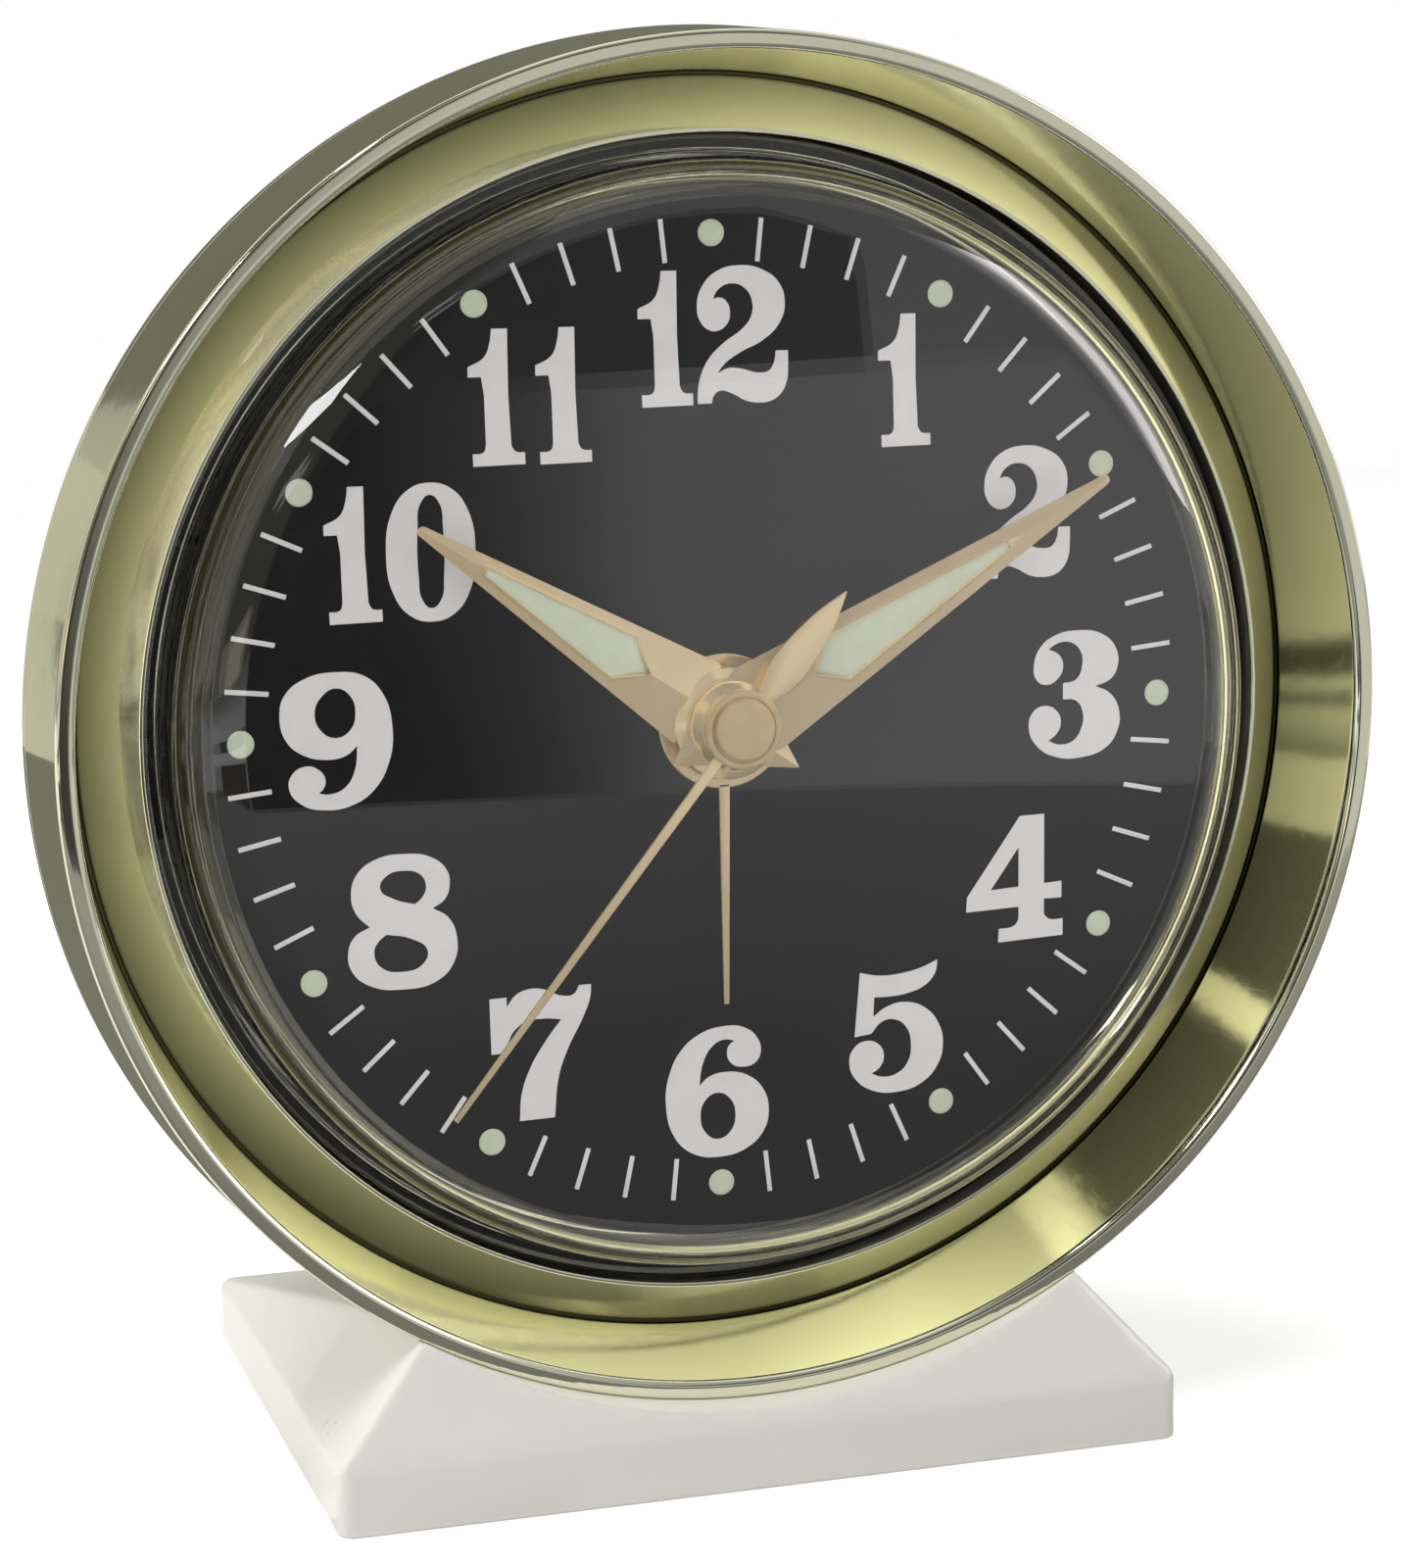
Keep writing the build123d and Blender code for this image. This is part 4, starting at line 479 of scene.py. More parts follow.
# numeral outlines in thousandths of their height; a third 1 marks a sharp corner
digitOutlines = {
    "0": [[(335, 1010), (500, 960), (620, 800), (670, 500), (620, 200), (500, 40), (335, -10), (170, 40), (50, 200),
           (0, 500), (50, 800), (170, 960)],
          [(335, 920), (405, 860), (430, 680), (430, 320), (405, 150), (335, 90), (265, 150), (240, 320), (240, 680),
           (265, 860)]],
    "1": [[(301, 1000, 1), (182, 1000, 1), (169, 904), (124, 795), (0, 725, 1), (0, 651, 1), (99, 651, 1),
           (119, 520, 1), (126, 152, 1), (108, 104), (25, 91, 1), (28, 0, 1), (422, 8, 1), (419, 96, 1), (348, 104),
           (318, 149, 1), (301, 520, 1)]],
    "2": [[(0, 16, 1), (108, 16, 1), (124, 72), (174, 109), (265, 88), (373, 32), (472, 13), (571, 24), (654, 80),
           (700, 176), (709, 288), (709, 397, 1), (613, 397, 1), (596, 304), (555, 248), (472, 237), (339, 269),
           (240, 275), (157, 237, 1), (207, 304), (339, 392), (505, 472), (638, 592), (687, 744), (638, 904),
           (505, 1000), (339, 1032), (157, 992), (41, 880), (0, 736), (25, 624), (91, 560), (157, 552), (232, 600),
           (257, 680), (232, 765), (182, 797), (124, 787, 1), (166, 856), (265, 899), (373, 864), (431, 760),
           (422, 656), (356, 568), (207, 464), (91, 352), (25, 224), (0, 96)]],
    "3": [[(42, 744), (87, 872), (199, 963), (408, 1003), (617, 963), (732, 845), (746, 710), (687, 609),
           (558, 559, 1), (687, 492), (760, 357), (749, 205), (652, 71), (443, 3), (216, 20), (59, 121), (0, 256),
           (31, 374), (129, 424), (233, 380), (268, 273), (223, 189), (164, 148, 1), (251, 114), (373, 138),
           (443, 239), (453, 357), (397, 451), (286, 468, 1), (286, 593, 1), (397, 620), (446, 727), (432, 838),
           (355, 909), (251, 912), (164, 865, 1), (251, 818), (286, 727), (233, 623), (129, 589), (56, 643)]],
    "4": [[(652, 993, 1), (448, 987, 1), (7, 367, 1), (0, 250, 1), (438, 267, 1), (438, 167, 1), (404, 120),
           (273, 100, 1), (266, -7, 1), (811, 17, 1), (811, 150, 1), (697, 153), (652, 193, 1), (652, 317, 1),
           (800, 317, 1), (800, 450, 1), (652, 440, 1)],
          [(438, 740, 1), (438, 427, 1), (204, 413, 1)]],
    "5": [[(91, 960, 1), (246, 927), (453, 935), (608, 970), (732, 1020, 1), (712, 915), (634, 828), (479, 770),
           (323, 755), (207, 757, 1), (199, 603, 1), (298, 670), (453, 703), (634, 640), (750, 490), (776, 340),
           (737, 190), (608, 52), (401, -10), (194, 15), (52, 115), (0, 240), (31, 357), (129, 415), (238, 385),
           (285, 290), (254, 203), (181, 152, 1), (272, 120), (388, 135), (479, 215), (510, 365), (471, 502),
           (375, 570), (272, 560), (181, 470, 1), (44, 453, 1)]],
    "6": [[(447, 1010), (644, 985), (749, 883), (767, 789), (722, 706), (617, 680), (531, 713), (494, 789),
           (512, 858), (557, 891, 1), (473, 906), (381, 865), (302, 739), (268, 556, 1), (341, 619), (473, 650),
           (657, 612), (788, 485), (827, 320), (788, 168), (657, 41), (420, -15), (210, 28), (66, 168), (0, 421),
           (26, 650), (131, 853), (276, 964)],
          [(415, 492), (515, 439), (557, 315), (520, 185), (415, 127), (315, 185), (276, 315), (315, 439)]],
    "7": [[(0, 958, 1), (133, 963, 1), (133, 889, 1), (204, 975), (319, 1015), (434, 1000), (555, 946), (657, 951),
           (698, 1015, 1), (792, 1015, 1), (785, 921), (723, 760), (606, 538), (529, 328), (491, 7, 1), (217, 0, 1),
           (235, 205), (299, 390), (427, 600), (555, 763, 1), (422, 778), (294, 768), (204, 719), (151, 644),
           (133, 538, 1), (8, 531, 1)]],
    "8": [[(440, 1013), (640, 977), (760, 871), (779, 750), (736, 647), (646, 590, 1), (766, 510), (827, 351),
           (800, 170), (667, 36), (400, -10), (160, 34), (27, 149), (0, 299), (53, 415), (168, 479, 1), (72, 577),
           (32, 724), (85, 887), (240, 990)],
          [(440, 887), (555, 853), (600, 763), (571, 680), (512, 629, 1), (352, 680), (253, 763), (299, 853)],
          [(293, 415, 1), (480, 369), (600, 273), (560, 170), (413, 124), (245, 170), (195, 286), (229, 363)]],
    "9": [[(426, 1005), (637, 966), (774, 825), (837, 573), (810, 334), (692, 122), (527, 16), (329, -11), (151, 37),
           (55, 162), (82, 268), (178, 321), (275, 294), (327, 215), (313, 154), (275, 114, 1), (362, 106),
           (472, 149), (546, 268), (571, 454, 1), (489, 387), (329, 363), (151, 414), (41, 520), (0, 692), (41, 851),
           (192, 966)],
          [(426, 886), (527, 825), (563, 706), (522, 573), (412, 520), (302, 581), (261, 714), (316, 830)]],
}

# middle of each numeral, right and up from the dial's centre
numerals = {
    "height": 9.8, "gaps": {"10": 0.35, "11": 0.85, "12": 0.35},
    "places": {"12": (0.1, 27.9), "1": (14.9, 24.45), "2": (24.75, 14.1), "3": (28.65, 0.2), "4": (23.8, -13.7),
               "5": (14.1, -24.7), "6": (-0.25, -28.45), "7": (-13.85, -24.45), "8": (-24.1, -13.7),
               "9": (-28.55, -0.1), "10": (-23.55, 13.15), "11": (-13.75, 24.05)},
}


def makePrint(d, n):
    # numerals as Bezier drawings, smooth points and sharp corners, and the four ticks between two dots
    curve = bpy.data.curves.new("numerals", "CURVE")
    curve.dimensions, curve.fill_mode, curve.resolution_u = "2D", "BOTH", 8
    curve.extrude = d["ink"] / 2
    height = n["height"]
    widths = {digit: max(p[0] for p in lines[0]) / 1000 for digit, lines in digitOutlines.items()}
    for label, (right, up) in n["places"].items():
        gap = n["gaps"].get(label, 0)
        start = right - (sum(widths[digit] for digit in label) * height + gap * (len(label) - 1)) / 2
        for digit in label:
            for line in digitOutlines[digit]:
                spline = curve.splines.new("BEZIER")
                spline.bezier_points.add(len(line) - 1)
                flat = np.zeros((len(line), 3), np.float32)
                flat[:, :2] = [(start + p[0] / 1000 * height, up + (p[1] / 1000 - 0.5) * height) for p in line]
                spline.bezier_points.foreach_set("co", flat.ravel())
                for point, given in zip(spline.bezier_points, line):
                    point.handle_left_type = point.handle_right_type = "VECTOR" if len(given) > 2 else "AUTO"
                spline.use_cyclic_u = True
            start += widths[digit] * height + gap
    half, inner, outer = d["tickWidth"] / 2, d["tickInner"], d["tickOuter"]
    tick = [(-half, inner), (half, inner), (half, outer), (-half, outer)]
    ticks = [turned(tick, 6 * minute) for minute in range(60) if minute % 5]
    parts = [curveMesh(curve, -d["ink"] / 2), cutSheet(ticks, -d["ink"], 0, 0.002)]
    piece("dial_print", "clock", parts, "print", angle=60)


def makeDial(d):
    plate = disc(d["bore"], d["radius"], 0, d["sheet"], d["rounds"], 4)
    piece("dial_plate", "clock", [lathe(plate)], "dial_black", ["dial"])
    spots = [turned([(0, d["dotCircle"])], 30 * hour)[0] for hour in range(12)]
    dots = [lathe(np.array(d["dot"]), spot, 32) for spot in spots]
    piece("dot_paint", "clock", dots, "lume", ["hour_dots"], angle=60)


makeDial(dialShape)
makePrint(dialShape, numerals)
print("dial made")


# ---- hands; depths are counted from the dial's face, and along from the hand's own centre

handShapes = {
    "hour": {"body": "hours", "angle": 303.5, "back": -2.7, "reach": 27.4, "shoulder": 3.0, "half": 3.35,
             "tail": 6.5, "tailFoot": 4.3, "tailHalf": 1.25, "windowTip": 21.6, "windowFoot": 9.5, "windowHalf": 1.75,
             "windowHeel": 7.2, "boss": ((1.9, -2.8, 0), (4.3, -2.8, 0.05), (4.15, -3.3, 0.3), (3.5, -3.95, 0.25),
                                         (1.9, -3.95, 0.05))},
    "minute": {"body": "minutes", "angle": 60.0, "back": -4.0, "reach": 34.1, "shoulder": 2.2, "half": 3.55,
               "tail": 5.3, "tailFoot": 2.6, "tailHalf": 1.85, "windowTip": 24.8, "windowFoot": 9.2, "windowHalf": 1.9,
               "windowHeel": 7.0, "boss": ((1.3, -4.1, 0), (3.3, -4.1, 0.05), (3.25, -4.7, 0.3), (2.7, -5.7, 0.25),
                                           (1.3, -5.7, 0.05))},
}
# what both hands share
handMake = {"sheet": 0.25, "slope": 0.22, "edge": 0.05, "tipRound": 0.4, "tailEnd": 0.06, "windowEnd": 0.3,
            "rim": 0.24, "rimLift": 0.05, "lumeRise": 0.2, "lumeLap": 0.25, "lumeOver": 0.12}


def edgeOf(h, along):
    # half width of the blade: tail, shoulder, straight run and a round tip
    tipRound = h["tipRound"]
    straight = np.interp(along, [-h["tail"], -h["tailFoot"], h["shoulder"], h["reach"] - tipRound],
                         [h["tailEnd"], h["tailHalf"], h["half"], tipRound])
    past = np.clip(along - h["reach"] + tipRound, 0, tipRound) / tipRound
    return np.maximum(straight * np.sqrt(1 - past**2), 0.02)


def overDial(h, across, along, lift):
    # points of a hand's own drawing, turned to its angle and lifted off its back
    flat = turned(np.stack([across.ravel(), along.ravel()], axis=1), h["angle"]).reshape(*across.shape, 2)
    return np.stack([flat[..., 0], dialFace + h["back"] - lift, axisUp + flat[..., 1]], axis=-1)


def makeHand(name, h):
    # rows run from tail to tip; columns are edge, rail, rim foot, rim, middle and the same again.
    # the height is a hipped roof: sheet + slope * (half width - |across|), the rim a little proud of it
    keys = [-h["tail"], -h["tailFoot"], h["shoulder"], h["windowHeel"], h["windowFoot"], h["windowTip"],
            h["reach"] - h["tipRound"]]
    runs = [np.linspace(start, end, 8) for start, end in zip(keys, keys[1:])]
    tip = h["reach"] - h["tipRound"] + h["tipRound"] * np.sin(np.linspace(0, np.pi / 2, 7))
    rows = np.unique(np.round(np.concatenate([*runs, tip]), 4))
    edge = edgeOf(h, rows)
    inside = (rows >= h["windowHeel"]) & (rows <= h["windowTip"])
    window = np.interp(rows, [h["windowHeel"], h["windowFoot"], h["windowTip"]],
                       [0.02, h["windowHalf"], h["windowEnd"]])
    inner = np.where(inside, window, edge * 0.15)
    rim = np.where(inside, np.minimum(window + h["rim"], edge * 0.9), edge * 0.4)
    across = np.stack([-edge, -(edge + rim) / 2, -rim, -inner, 0 * edge, inner, rim, (edge + rim) / 2, edge], axis=1)
    lift = h["sheet"] + h["slope"] * (edge[:, None] - np.abs(across))
    lift[:, [3, 5]] += np.where(inside, h["rimLift"], 0)[:, None]
    blade = gridMesh(overDial(h, across, np.broadcast_to(rows[:, None], across.shape), lift))
    # the faces over the window are left out
    middle = (rows[:-1] + rows[1:]) / 2
    overWindow = ((middle > h["windowHeel"]) & (middle < h["windowTip"]))[:, None]
    gone = overWindow & np.isin(np.arange(across.shape[1] - 1), (3, 4))[None, :]
    shape = bmesh.new()
    shape.from_mesh(blade)
    shape.faces.ensure_lookup_table()
    bmesh.ops.delete(shape, geom=[shape.faces[i] for i in np.flatnonzero(gone.ravel())], context="FACES")
    bmesh.ops.remove_doubles(shape, verts=shape.verts, dist=0.002)
    bmesh.ops.recalc_face_normals(shape, faces=shape.faces)
    shape.to_mesh(blade)
    shape.free()
    # the sheet's wall and its soft edges, made before the boss is added
    sheet = linked("sheet", blade)
    wall = sheet.modifiers.new("wall", "SOLIDIFY")
    wall.thickness, wall.offset = h["sheet"], -1
    soft = sheet.modifiers.new("edges", "BEVEL")
    soft.width, soft.segments, soft.limit_method, soft.angle_limit = h["edge"], 2, "ANGLE", radians(50)
    solid = bpy.data.meshes.new_from_object(sheet.evaluated_get(bpy.context.evaluated_depsgraph_get()))
    bpy.data.objects.remove(sheet)
    bpy.data.meshes.remove(blade)
    parts = [solid, lathe(rounded(h["boss"], 6), steps=128)]
    piece(name + "_blade", h["body"], parts, "hand_gilt", [name + "_hand"], angle=9)


def makeLume(name, h):
    # the paint fills the window and bulges between its rails: an ellipse carried along it, as wide as the window
    heel, tip, rise = h["windowHeel"] - h["lumeLap"], h["windowTip"] + h["lumeLap"], h["lumeRise"]
    along = np.interp(np.linspace(0, 1, 33), [0, 0.16, 1], [heel, h["windowFoot"], tip])
    half = np.interp(along, [heel, h["windowFoot"], h["windowTip"], tip],
                     [0.05, h["windowHalf"] + h["lumeOver"], 0.4, 0.1])
    turn = np.linspace(0, twoPi, 24, endpoint=False)[None, :]
    across = half[:, None] * np.cos(turn)
    up = rise * np.sin(turn) * np.minimum(1, half[:, None] / 0.4)
    points = closedEnds(overDial(h, across, np.broadcast_to(along[:, None], across.shape), rise + up))
    piece(name + "_lume_paint", h["body"], [gridMesh(points, wrapColumns=True)], "lume", [name + "_lume"], angle=70)


for name, shape in handShapes.items():
    makeHand(name, {**handMake, **shape})
    makeLume(name, {**handMake, **shape})

secondShape = {"angle": 218.7, "back": -5.9, "sheet": 0.3, "edge": 0.06, "reach": 35.0, "foot": 0, "leafTurn": 1.4,
               "leaf": ((0, 0.42), (2.0, 0.46), (3.3, 0.75), (4.4, 1.2), (5.6, 1.4), (7.4, 1.3), (9.0, 1.08),
                        (10.5, 0.76), (11.7, 0.36), (12.63, 0.03))}
alarmShape = {"angle": 180.0, "back": -1.6, "sheet": 0.3, "edge": 0.06, "reach": 21.3, "foot": 4.7, "disc": 5.0,
              "bore": 1.9, "rounds": (0.04, 0.12, 0.04)}
capShape = {"ring": ((2.4, -6.8, 0.1), (2.9, -6.8, 0.14), (2.9, -5.9, 0.05), (0.5, -5.9, 0), (0.5, -6.5, 0),
                     (2.4, -6.5, 0)),
            "knob": {"bore": 0, "radius": 2.25, "front": -7.2, "back": -6.2, "rounds": (0, 0.16, 0)}}
barFoot, barTip = 0.42, 0.2     # half widths of the thin hands


def thinBar(s):
    # a thin bar that tapers from its foot to its reach
    bar = [(-barFoot, s["foot"]), (barFoot, s["foot"]), (barTip, s["reach"]), (-barTip, s["reach"])]
    return cutSheet([turned(bar, s["angle"])], s["back"] - s["sheet"], s["back"], s["edge"])


def makeThinHands(s, a, c):
    # the willow leaf behind the cap: its half width runs smoothly through the given stations
    stations = np.array(s["leaf"])
    along = np.linspace(0, stations[-1, 0], 48)
    half = np.interp(along, stations[:, 0], stations[:, 1])
    half[1:-1] = (half[:-2] + 2 * half[1:-1] + half[2:]) / 4
    side = np.stack([half, -along], axis=1)
    leaf = turned(np.concatenate([side, side[::-1] * (-1, 1)]), s["angle"] + s["leafTurn"])
    parts = [thinBar(s), cutSheet([leaf], s["back"] - s["sheet"], s["back"], s["edge"])]
    piece("second_blade", "seconds", parts, "hand_gilt", ["second_hand"])
    parts = [lathe(rounded(c["ring"], 5), steps=96), lathe(disc(**c["knob"], steps=7), steps=96, wrap=False)]
    piece("cap_ring", "seconds", parts, "brushed_cap", ["second_cap"])
    hub = disc(a["bore"], a["disc"], a["back"] - a["sheet"], a["back"], a["rounds"], 5)
    piece("alarm_blade", "alarm_indicator", [thinBar(a), lathe(hub, steps=128)], "hand_gilt", ["alarm_hand"])


makeThinHands(secondShape, alarmShape, capShape)
print("hands made")


# ---- plinth; x is to the right, y to the back and heights are from the floor

plinthShape = {"front": -26.025, "back": 23.225, "half": 32.4, "rim": 4.9, "slopes": (2.25, 1.13, 0.203),
               "corner": 1.2, "leastCorner": 0.3, "rimRound": 0.5, "soft": 0.32, "wall": 2.0, "saddle": 1.8,
               "drumDepths": (-7.7, 2.4), "drumRadii": (49.65, 50.4), "drumEnd": 6.1,
               # inset and height of the rows down the skirt and round its foot
               "skirt": ((0, 0.4), (0, 0.25), (0.05, 0.1), (0.15, 0.02), (0.3, 0), (1.8, 0)),
               # across and height of a rib; 1 is where it meets the roof, which it is sunk into
               "rib": ((-0.8, 1), (-0.8, 0.3), (-0.7, 0.02), (-0.5, 0), (0.5, 0), (0.7, 0.02), (0.8, 0.3), (0.8, 1)),
               "ribLap": 0.6, "ribSink": 0.7, "screwRadius": 2.2,
               "boss": {"bore": 0, "radius": 3.2, "front": 1.6, "back": 4.6, "rounds": (0, 0.2, 0)}}


def plinthSheet(p, wall):
    # height = softest of the four slopes, rounded down at the rim, and never above the drum's own curve
    front, back, half = p["front"] + wall, p["back"] - wall, p["half"] - wall
    corner, rim = max(p["corner"] - wall, p["leastCorner"]), p["rim"] - wall
    saddle = p["saddle"] if wall else 0
    step = dialFace + p["drumEnd"] + saddle
    edge = np.array([0, 0.03, 0.08, 0.16, 0.27, 0.4, 0.55, 0.8, 1.1, 1.2])      # close rows along the rounded rim
    y = np.concatenate([front + edge, np.linspace(front + 1.6, step - 0.02, 64),
                        np.linspace(step + 0.02, back - 1.6, 56), (back - edge)[::-1]])
    away = np.clip(corner - np.minimum(y - front, back - y), 0, corner)
    width = half - corner + np.sqrt(np.clip(corner**2 - away**2, 0, None))
    share = np.concatenate([edge / half, np.linspace(1.8 / half, 1, 90)])
    share = np.concatenate([share - 1, (1 - share)[::-1][1:]])
    x = share[None, :] * width[:, None]
    y = np.broadcast_to(y[:, None], x.shape)
    frontSlope, sideSlope, backSlope = p["slopes"]
    planes = np.stack([rim + frontSlope * (y - front), rim + backSlope * (back - y),
                       rim + sideSlope * (half - x), rim + sideSlope * (half + x)])
    soft = p["soft"]
    height = -soft * np.log(np.exp(-(planes - rim) / soft).sum(axis=0)) + rim
    # distance inside the footprint, for the rounded rim
    qx, qy = np.abs(x) - (half - corner), np.abs(y - (front + back) / 2) - ((back - front) / 2 - corner)
    inside = corner - np.hypot(np.clip(qx, 0, None), np.clip(qy, 0, None)) - np.minimum(np.maximum(qx, qy), 0)
    r = p["rimRound"]
    height = np.maximum(height, rim - soft) - (r - np.sqrt(np.clip(r**2 - np.clip(r - inside, 0, r)**2, 0, None)))
    # the drum's curve under its axis, as far back as its shoulder
    depth = y - dialFace
    drum = np.interp(depth, p["drumDepths"], p["drumRadii"]) + saddle
    under = axisUp - np.sqrt(np.clip(drum**2 - x**2, 0, None))
    height = np.where((depth < p["drumEnd"] + saddle) & (np.abs(x) < drum), np.minimum(height, under), height)
    return np.stack([x, y, height], axis=-1)


def loopOf(sheet):
    # the sheet's outline, once round
    return np.concatenate([sheet[0, :-1], sheet[:-1, -1], sheet[-1, :0:-1], sheet[:0:-1, 0]])


def makePlinth(p):
    top, under = plinthSheet(p, 0), plinthSheet(p, p["wall"])
    middle = (p["front"] + p["back"]) / 2
    outer, inner = loopOf(top), loopOf(under)

    def ringAt(line, inset, height):
        halfX, halfY = np.abs(line[:, 0]).max(), np.abs(line[:, 1] - middle).max()
        x = line[:, 0] * (halfX - inset) / halfX
        y = middle + (line[:, 1] - middle) * (halfY - inset) / halfY
        return np.stack([x, y, np.full(len(line), height)], axis=-1)

    skirt = np.stack([outer, *(ringAt(outer, *row) for row in p["skirt"]), ringAt(inner, 0, 0), inner])
    parts = [gridMesh(top), gridMesh(skirt, wrapColumns=True), gridMesh(under)]
    # ribs along both middles, sunk into the roof: axis, centre, half of the plinth, and the roof's line over the rib
    ribs = ((1, middle, (p["back"] - p["front"]) / 2, under[:, under.shape[1] // 2]),
            (0, 0, p["half"], under[np.abs(under[:, 0, 1]).argmin()]))
    across, foot = np.array(p["rib"]).T
    for axis, centre, half, line in ribs:
        run = centre + np.linspace(-1, 1, 90) * (half - p["wall"] + p["ribLap"])
        roof = np.interp(run, line[:, axis], line[:, 2]) + p["ribSink"]
        height = np.where(foot == 1, roof[:, None], foot)
        wide, lengthwise = np.broadcast_to(across, height.shape), np.broadcast_to(run[:, None], height.shape)
        points = np.stack([wide, lengthwise, height] if axis else [lengthwise, wide, height], axis=-1)
        parts.append(gridMesh(closedEnds(points), wrapColumns=True))
    # a boss over each screw
    low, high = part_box("base_screws")
    screwY, screwX = (low.y + high.y) / 2 / mm, (high.x - p["screwRadius"] * mm) / mm
    boss = disc(**p["boss"], steps=4)
    turn = np.linspace(0, twoPi, 48, endpoint=False)[:, None]
    for side in (-1, 1):
        x, y = side * screwX + boss[None, :, 0] * np.cos(turn), screwY + boss[None, :, 0] * np.sin(turn)
        points = np.stack([x, y, np.broadcast_to(boss[None, :, 1], x.shape)], axis=-1)
        parts.append(gridMesh(points, wrapRows=True))
    piece("plinth_shell", "clock", parts, "plinth", ["base"], angle=40, weld=0.001)


makePlinth(plinthShape)
print("plinth made")


# ---- back of the clock

coverShape = {"front": 26.2, "back": 27.2, "radius": 37.35, "edge": 0.12,
              # radius and count of points of the hole round each node
              "holes": {"time_winding_arbor": (2.0, 64), "alarm_winding_arbor": (2.0, 64), "time_set_knob": (1.2, 48),
                        "alarm_set_knob": (1.2, 48), "alarm_stop_button": (1.25, 48)},
              "slotReach": 10.0, "slotHalf": 1.0, "slotSwing": 22}
screwShape = {"angles": (-39.8, -140.2, 45.0, 161.9), "circle": 31.2, "radius": 1.9, "base": 0.45, "cutFoot": 0.4,
              "height": 0.9, "slot": 0.5, "edge": 0.12, "firstTurn": 25, "nextTurn": 40}
keyShape = {"hub": {"bore": 0, "radius": 2.7, "front": 29.0, "back": 33.6, "rounds": (0, 0.25, 0.5)}, "lobe": 4.4,
            "wing": 5.2, "eye": 1.5, "depth": 35.3, "half": 0.9, "edge": 0.3, "neck": ((-2.218, -3.8), (-4.26, 1.1))}
knobShape = {"body": {"bore": 0, "radius": 3.9, "front": 29.0, "back": 34.0, "rounds": (0, 0.3, 0.6)}, "ribs": 14,
             "ribHeight": 0.3, "ribFoot": 3.3}
buttonShape = ((0, 24.9, 0), (1.2, 24.9, 0.1), (1.2, 30.4, 0.1), (2.6, 30.4, 0.2), (2.6, 33.0, 0.8), (0, 33.0, 0))


def makeCover(b):
    holes = [ring(radius, count, spotOf(node)) for node, (radius, count) in b["holes"].items()]
    # the regulator's slot: an arc about the balance, with round ends
    balance, reach, half = spotOf("balance_wheel"), b["slotReach"], b["slotHalf"]
    high, low = 90 - b["slotSwing"], 90 + b["slotSwing"]
    first, last = (arcLine(balance, reach, angle, angle, 1)[0] for angle in (high, low))
    slotLine = np.concatenate([arcLine(balance, reach + half, high, low), arcLine(last, half, low, low + 180, 10)[1:-1],
                               arcLine(balance, reach - half, low, high),
                               arcLine(first, half, high + 180, high + 360, 10)[1:-1]])
    cover = cutSheet([ring(b["radius"], 256), *holes, slotLine], b["front"], b["back"], b["edge"])
    piece("cover_plate", "clock", [cover], "cover_gilt", ["back_cover"])


def makeScrews(s, back):
    # a low round head with two half discs on it, which leave the slot between them
    parts = []
    cut = np.degrees(np.arcsin(s["slot"] / 2 / s["radius"]))
    base = disc(0, s["radius"], back, back + s["base"], (0, 0, 0), 3)
    for i, angle in enumerate(s["angles"]):
        spot = tuple(s["circle"] * np.array([np.cos(radians(angle)), np.sin(radians(angle))]))
        parts.append(lathe(base, spot, 64, wrap=False))
        for side in (0, 180):
            half = arcLine((0, 0), s["radius"], side + cut, side + 180 - cut, 40)
            half = turned(half, s["firstTurn"] + s["nextTurn"] * i) + spot
            parts.append(cutSheet([half], back + s["cutFoot"], back + s["height"], s["edge"]))
    piece("cover_screw_heads", "clock", parts, "steel", ["cover_screws"])


def makeKey(name, k):
    # a hub on the arbor and a flat wing with two pierced lobes; the wing lies across the hub
    spot = spotOf(name + "_key")
    low, high = (np.degrees(np.arctan2(y, x)) for x, y in k["neck"])
    right = arcLine((k["wing"], k["depth"]), k["lobe"], low, high, 72)
    outline = np.concatenate([right, right[::-1] * (-1, 1)]) + (spot[0], 0)
    eyes = [ring(k["eye"], 40, (spot[0] + side * k["wing"], k["depth"])) for side in (-1, 1)]
    plate = cutSheet([outline, *eyes], spot[1] - k["half"], spot[1] + k["half"], k["edge"], layout=lying)
    parts = [lathe(disc(**k["hub"]), spot, 96, wrap=False), plate]
    piece(name + "_wing_key", name + "_winder", parts, "cover_gilt", [name + "_key"])


def makeKnob(name, k):
    # soft ribs: the radius swells with a clipped cosine of the turn, and fades out at the faces
    body = k["body"]
    profile = disc(**body, steps=8)
    inside = profile[:, 0] > k["ribFoot"]

    def ribs(turn, line):
        rib = np.clip(0.5 + 1.3 * np.cos(k["ribs"] * turn), 0, 1)
        return k["ribHeight"] * rib * inside[None, :] * (line[None, :, 0] / body["radius"]) ** 4

    parts = [lathe(profile, spotOf(name + "_set_knob"), 280, wrap=False, flutes=ribs)]
    piece(name + "_knob_grip", name + "_setter", parts, "cover_gilt", [name + "_set_knob"])


makeCover(coverShape)
makeScrews(screwShape, coverShape["back"])
for train in ("time", "alarm"):
    makeKey(train, keyShape)
for train in ("time", "alarm"):
    makeKnob(train, knobShape)
button = lathe(rounded(buttonShape, 8), spotOf("alarm_stop_button"), 96, wrap=False)
piece("shut_off_button", "stop_button", [button], "cover_gilt", ["alarm_stop_button"])
print("back made")


# ---- stage, light and camera; from here on in metres

def towards(azimuth, elevation):
    # unit vector from the clock: azimuth 0 is the front, positive to the right
    a, e = np.radians(azimuth), np.radians(elevation)
    return np.stack([np.sin(a) * np.cos(e), -np.cos(a) * np.cos(e), np.sin(e)], axis=-1)


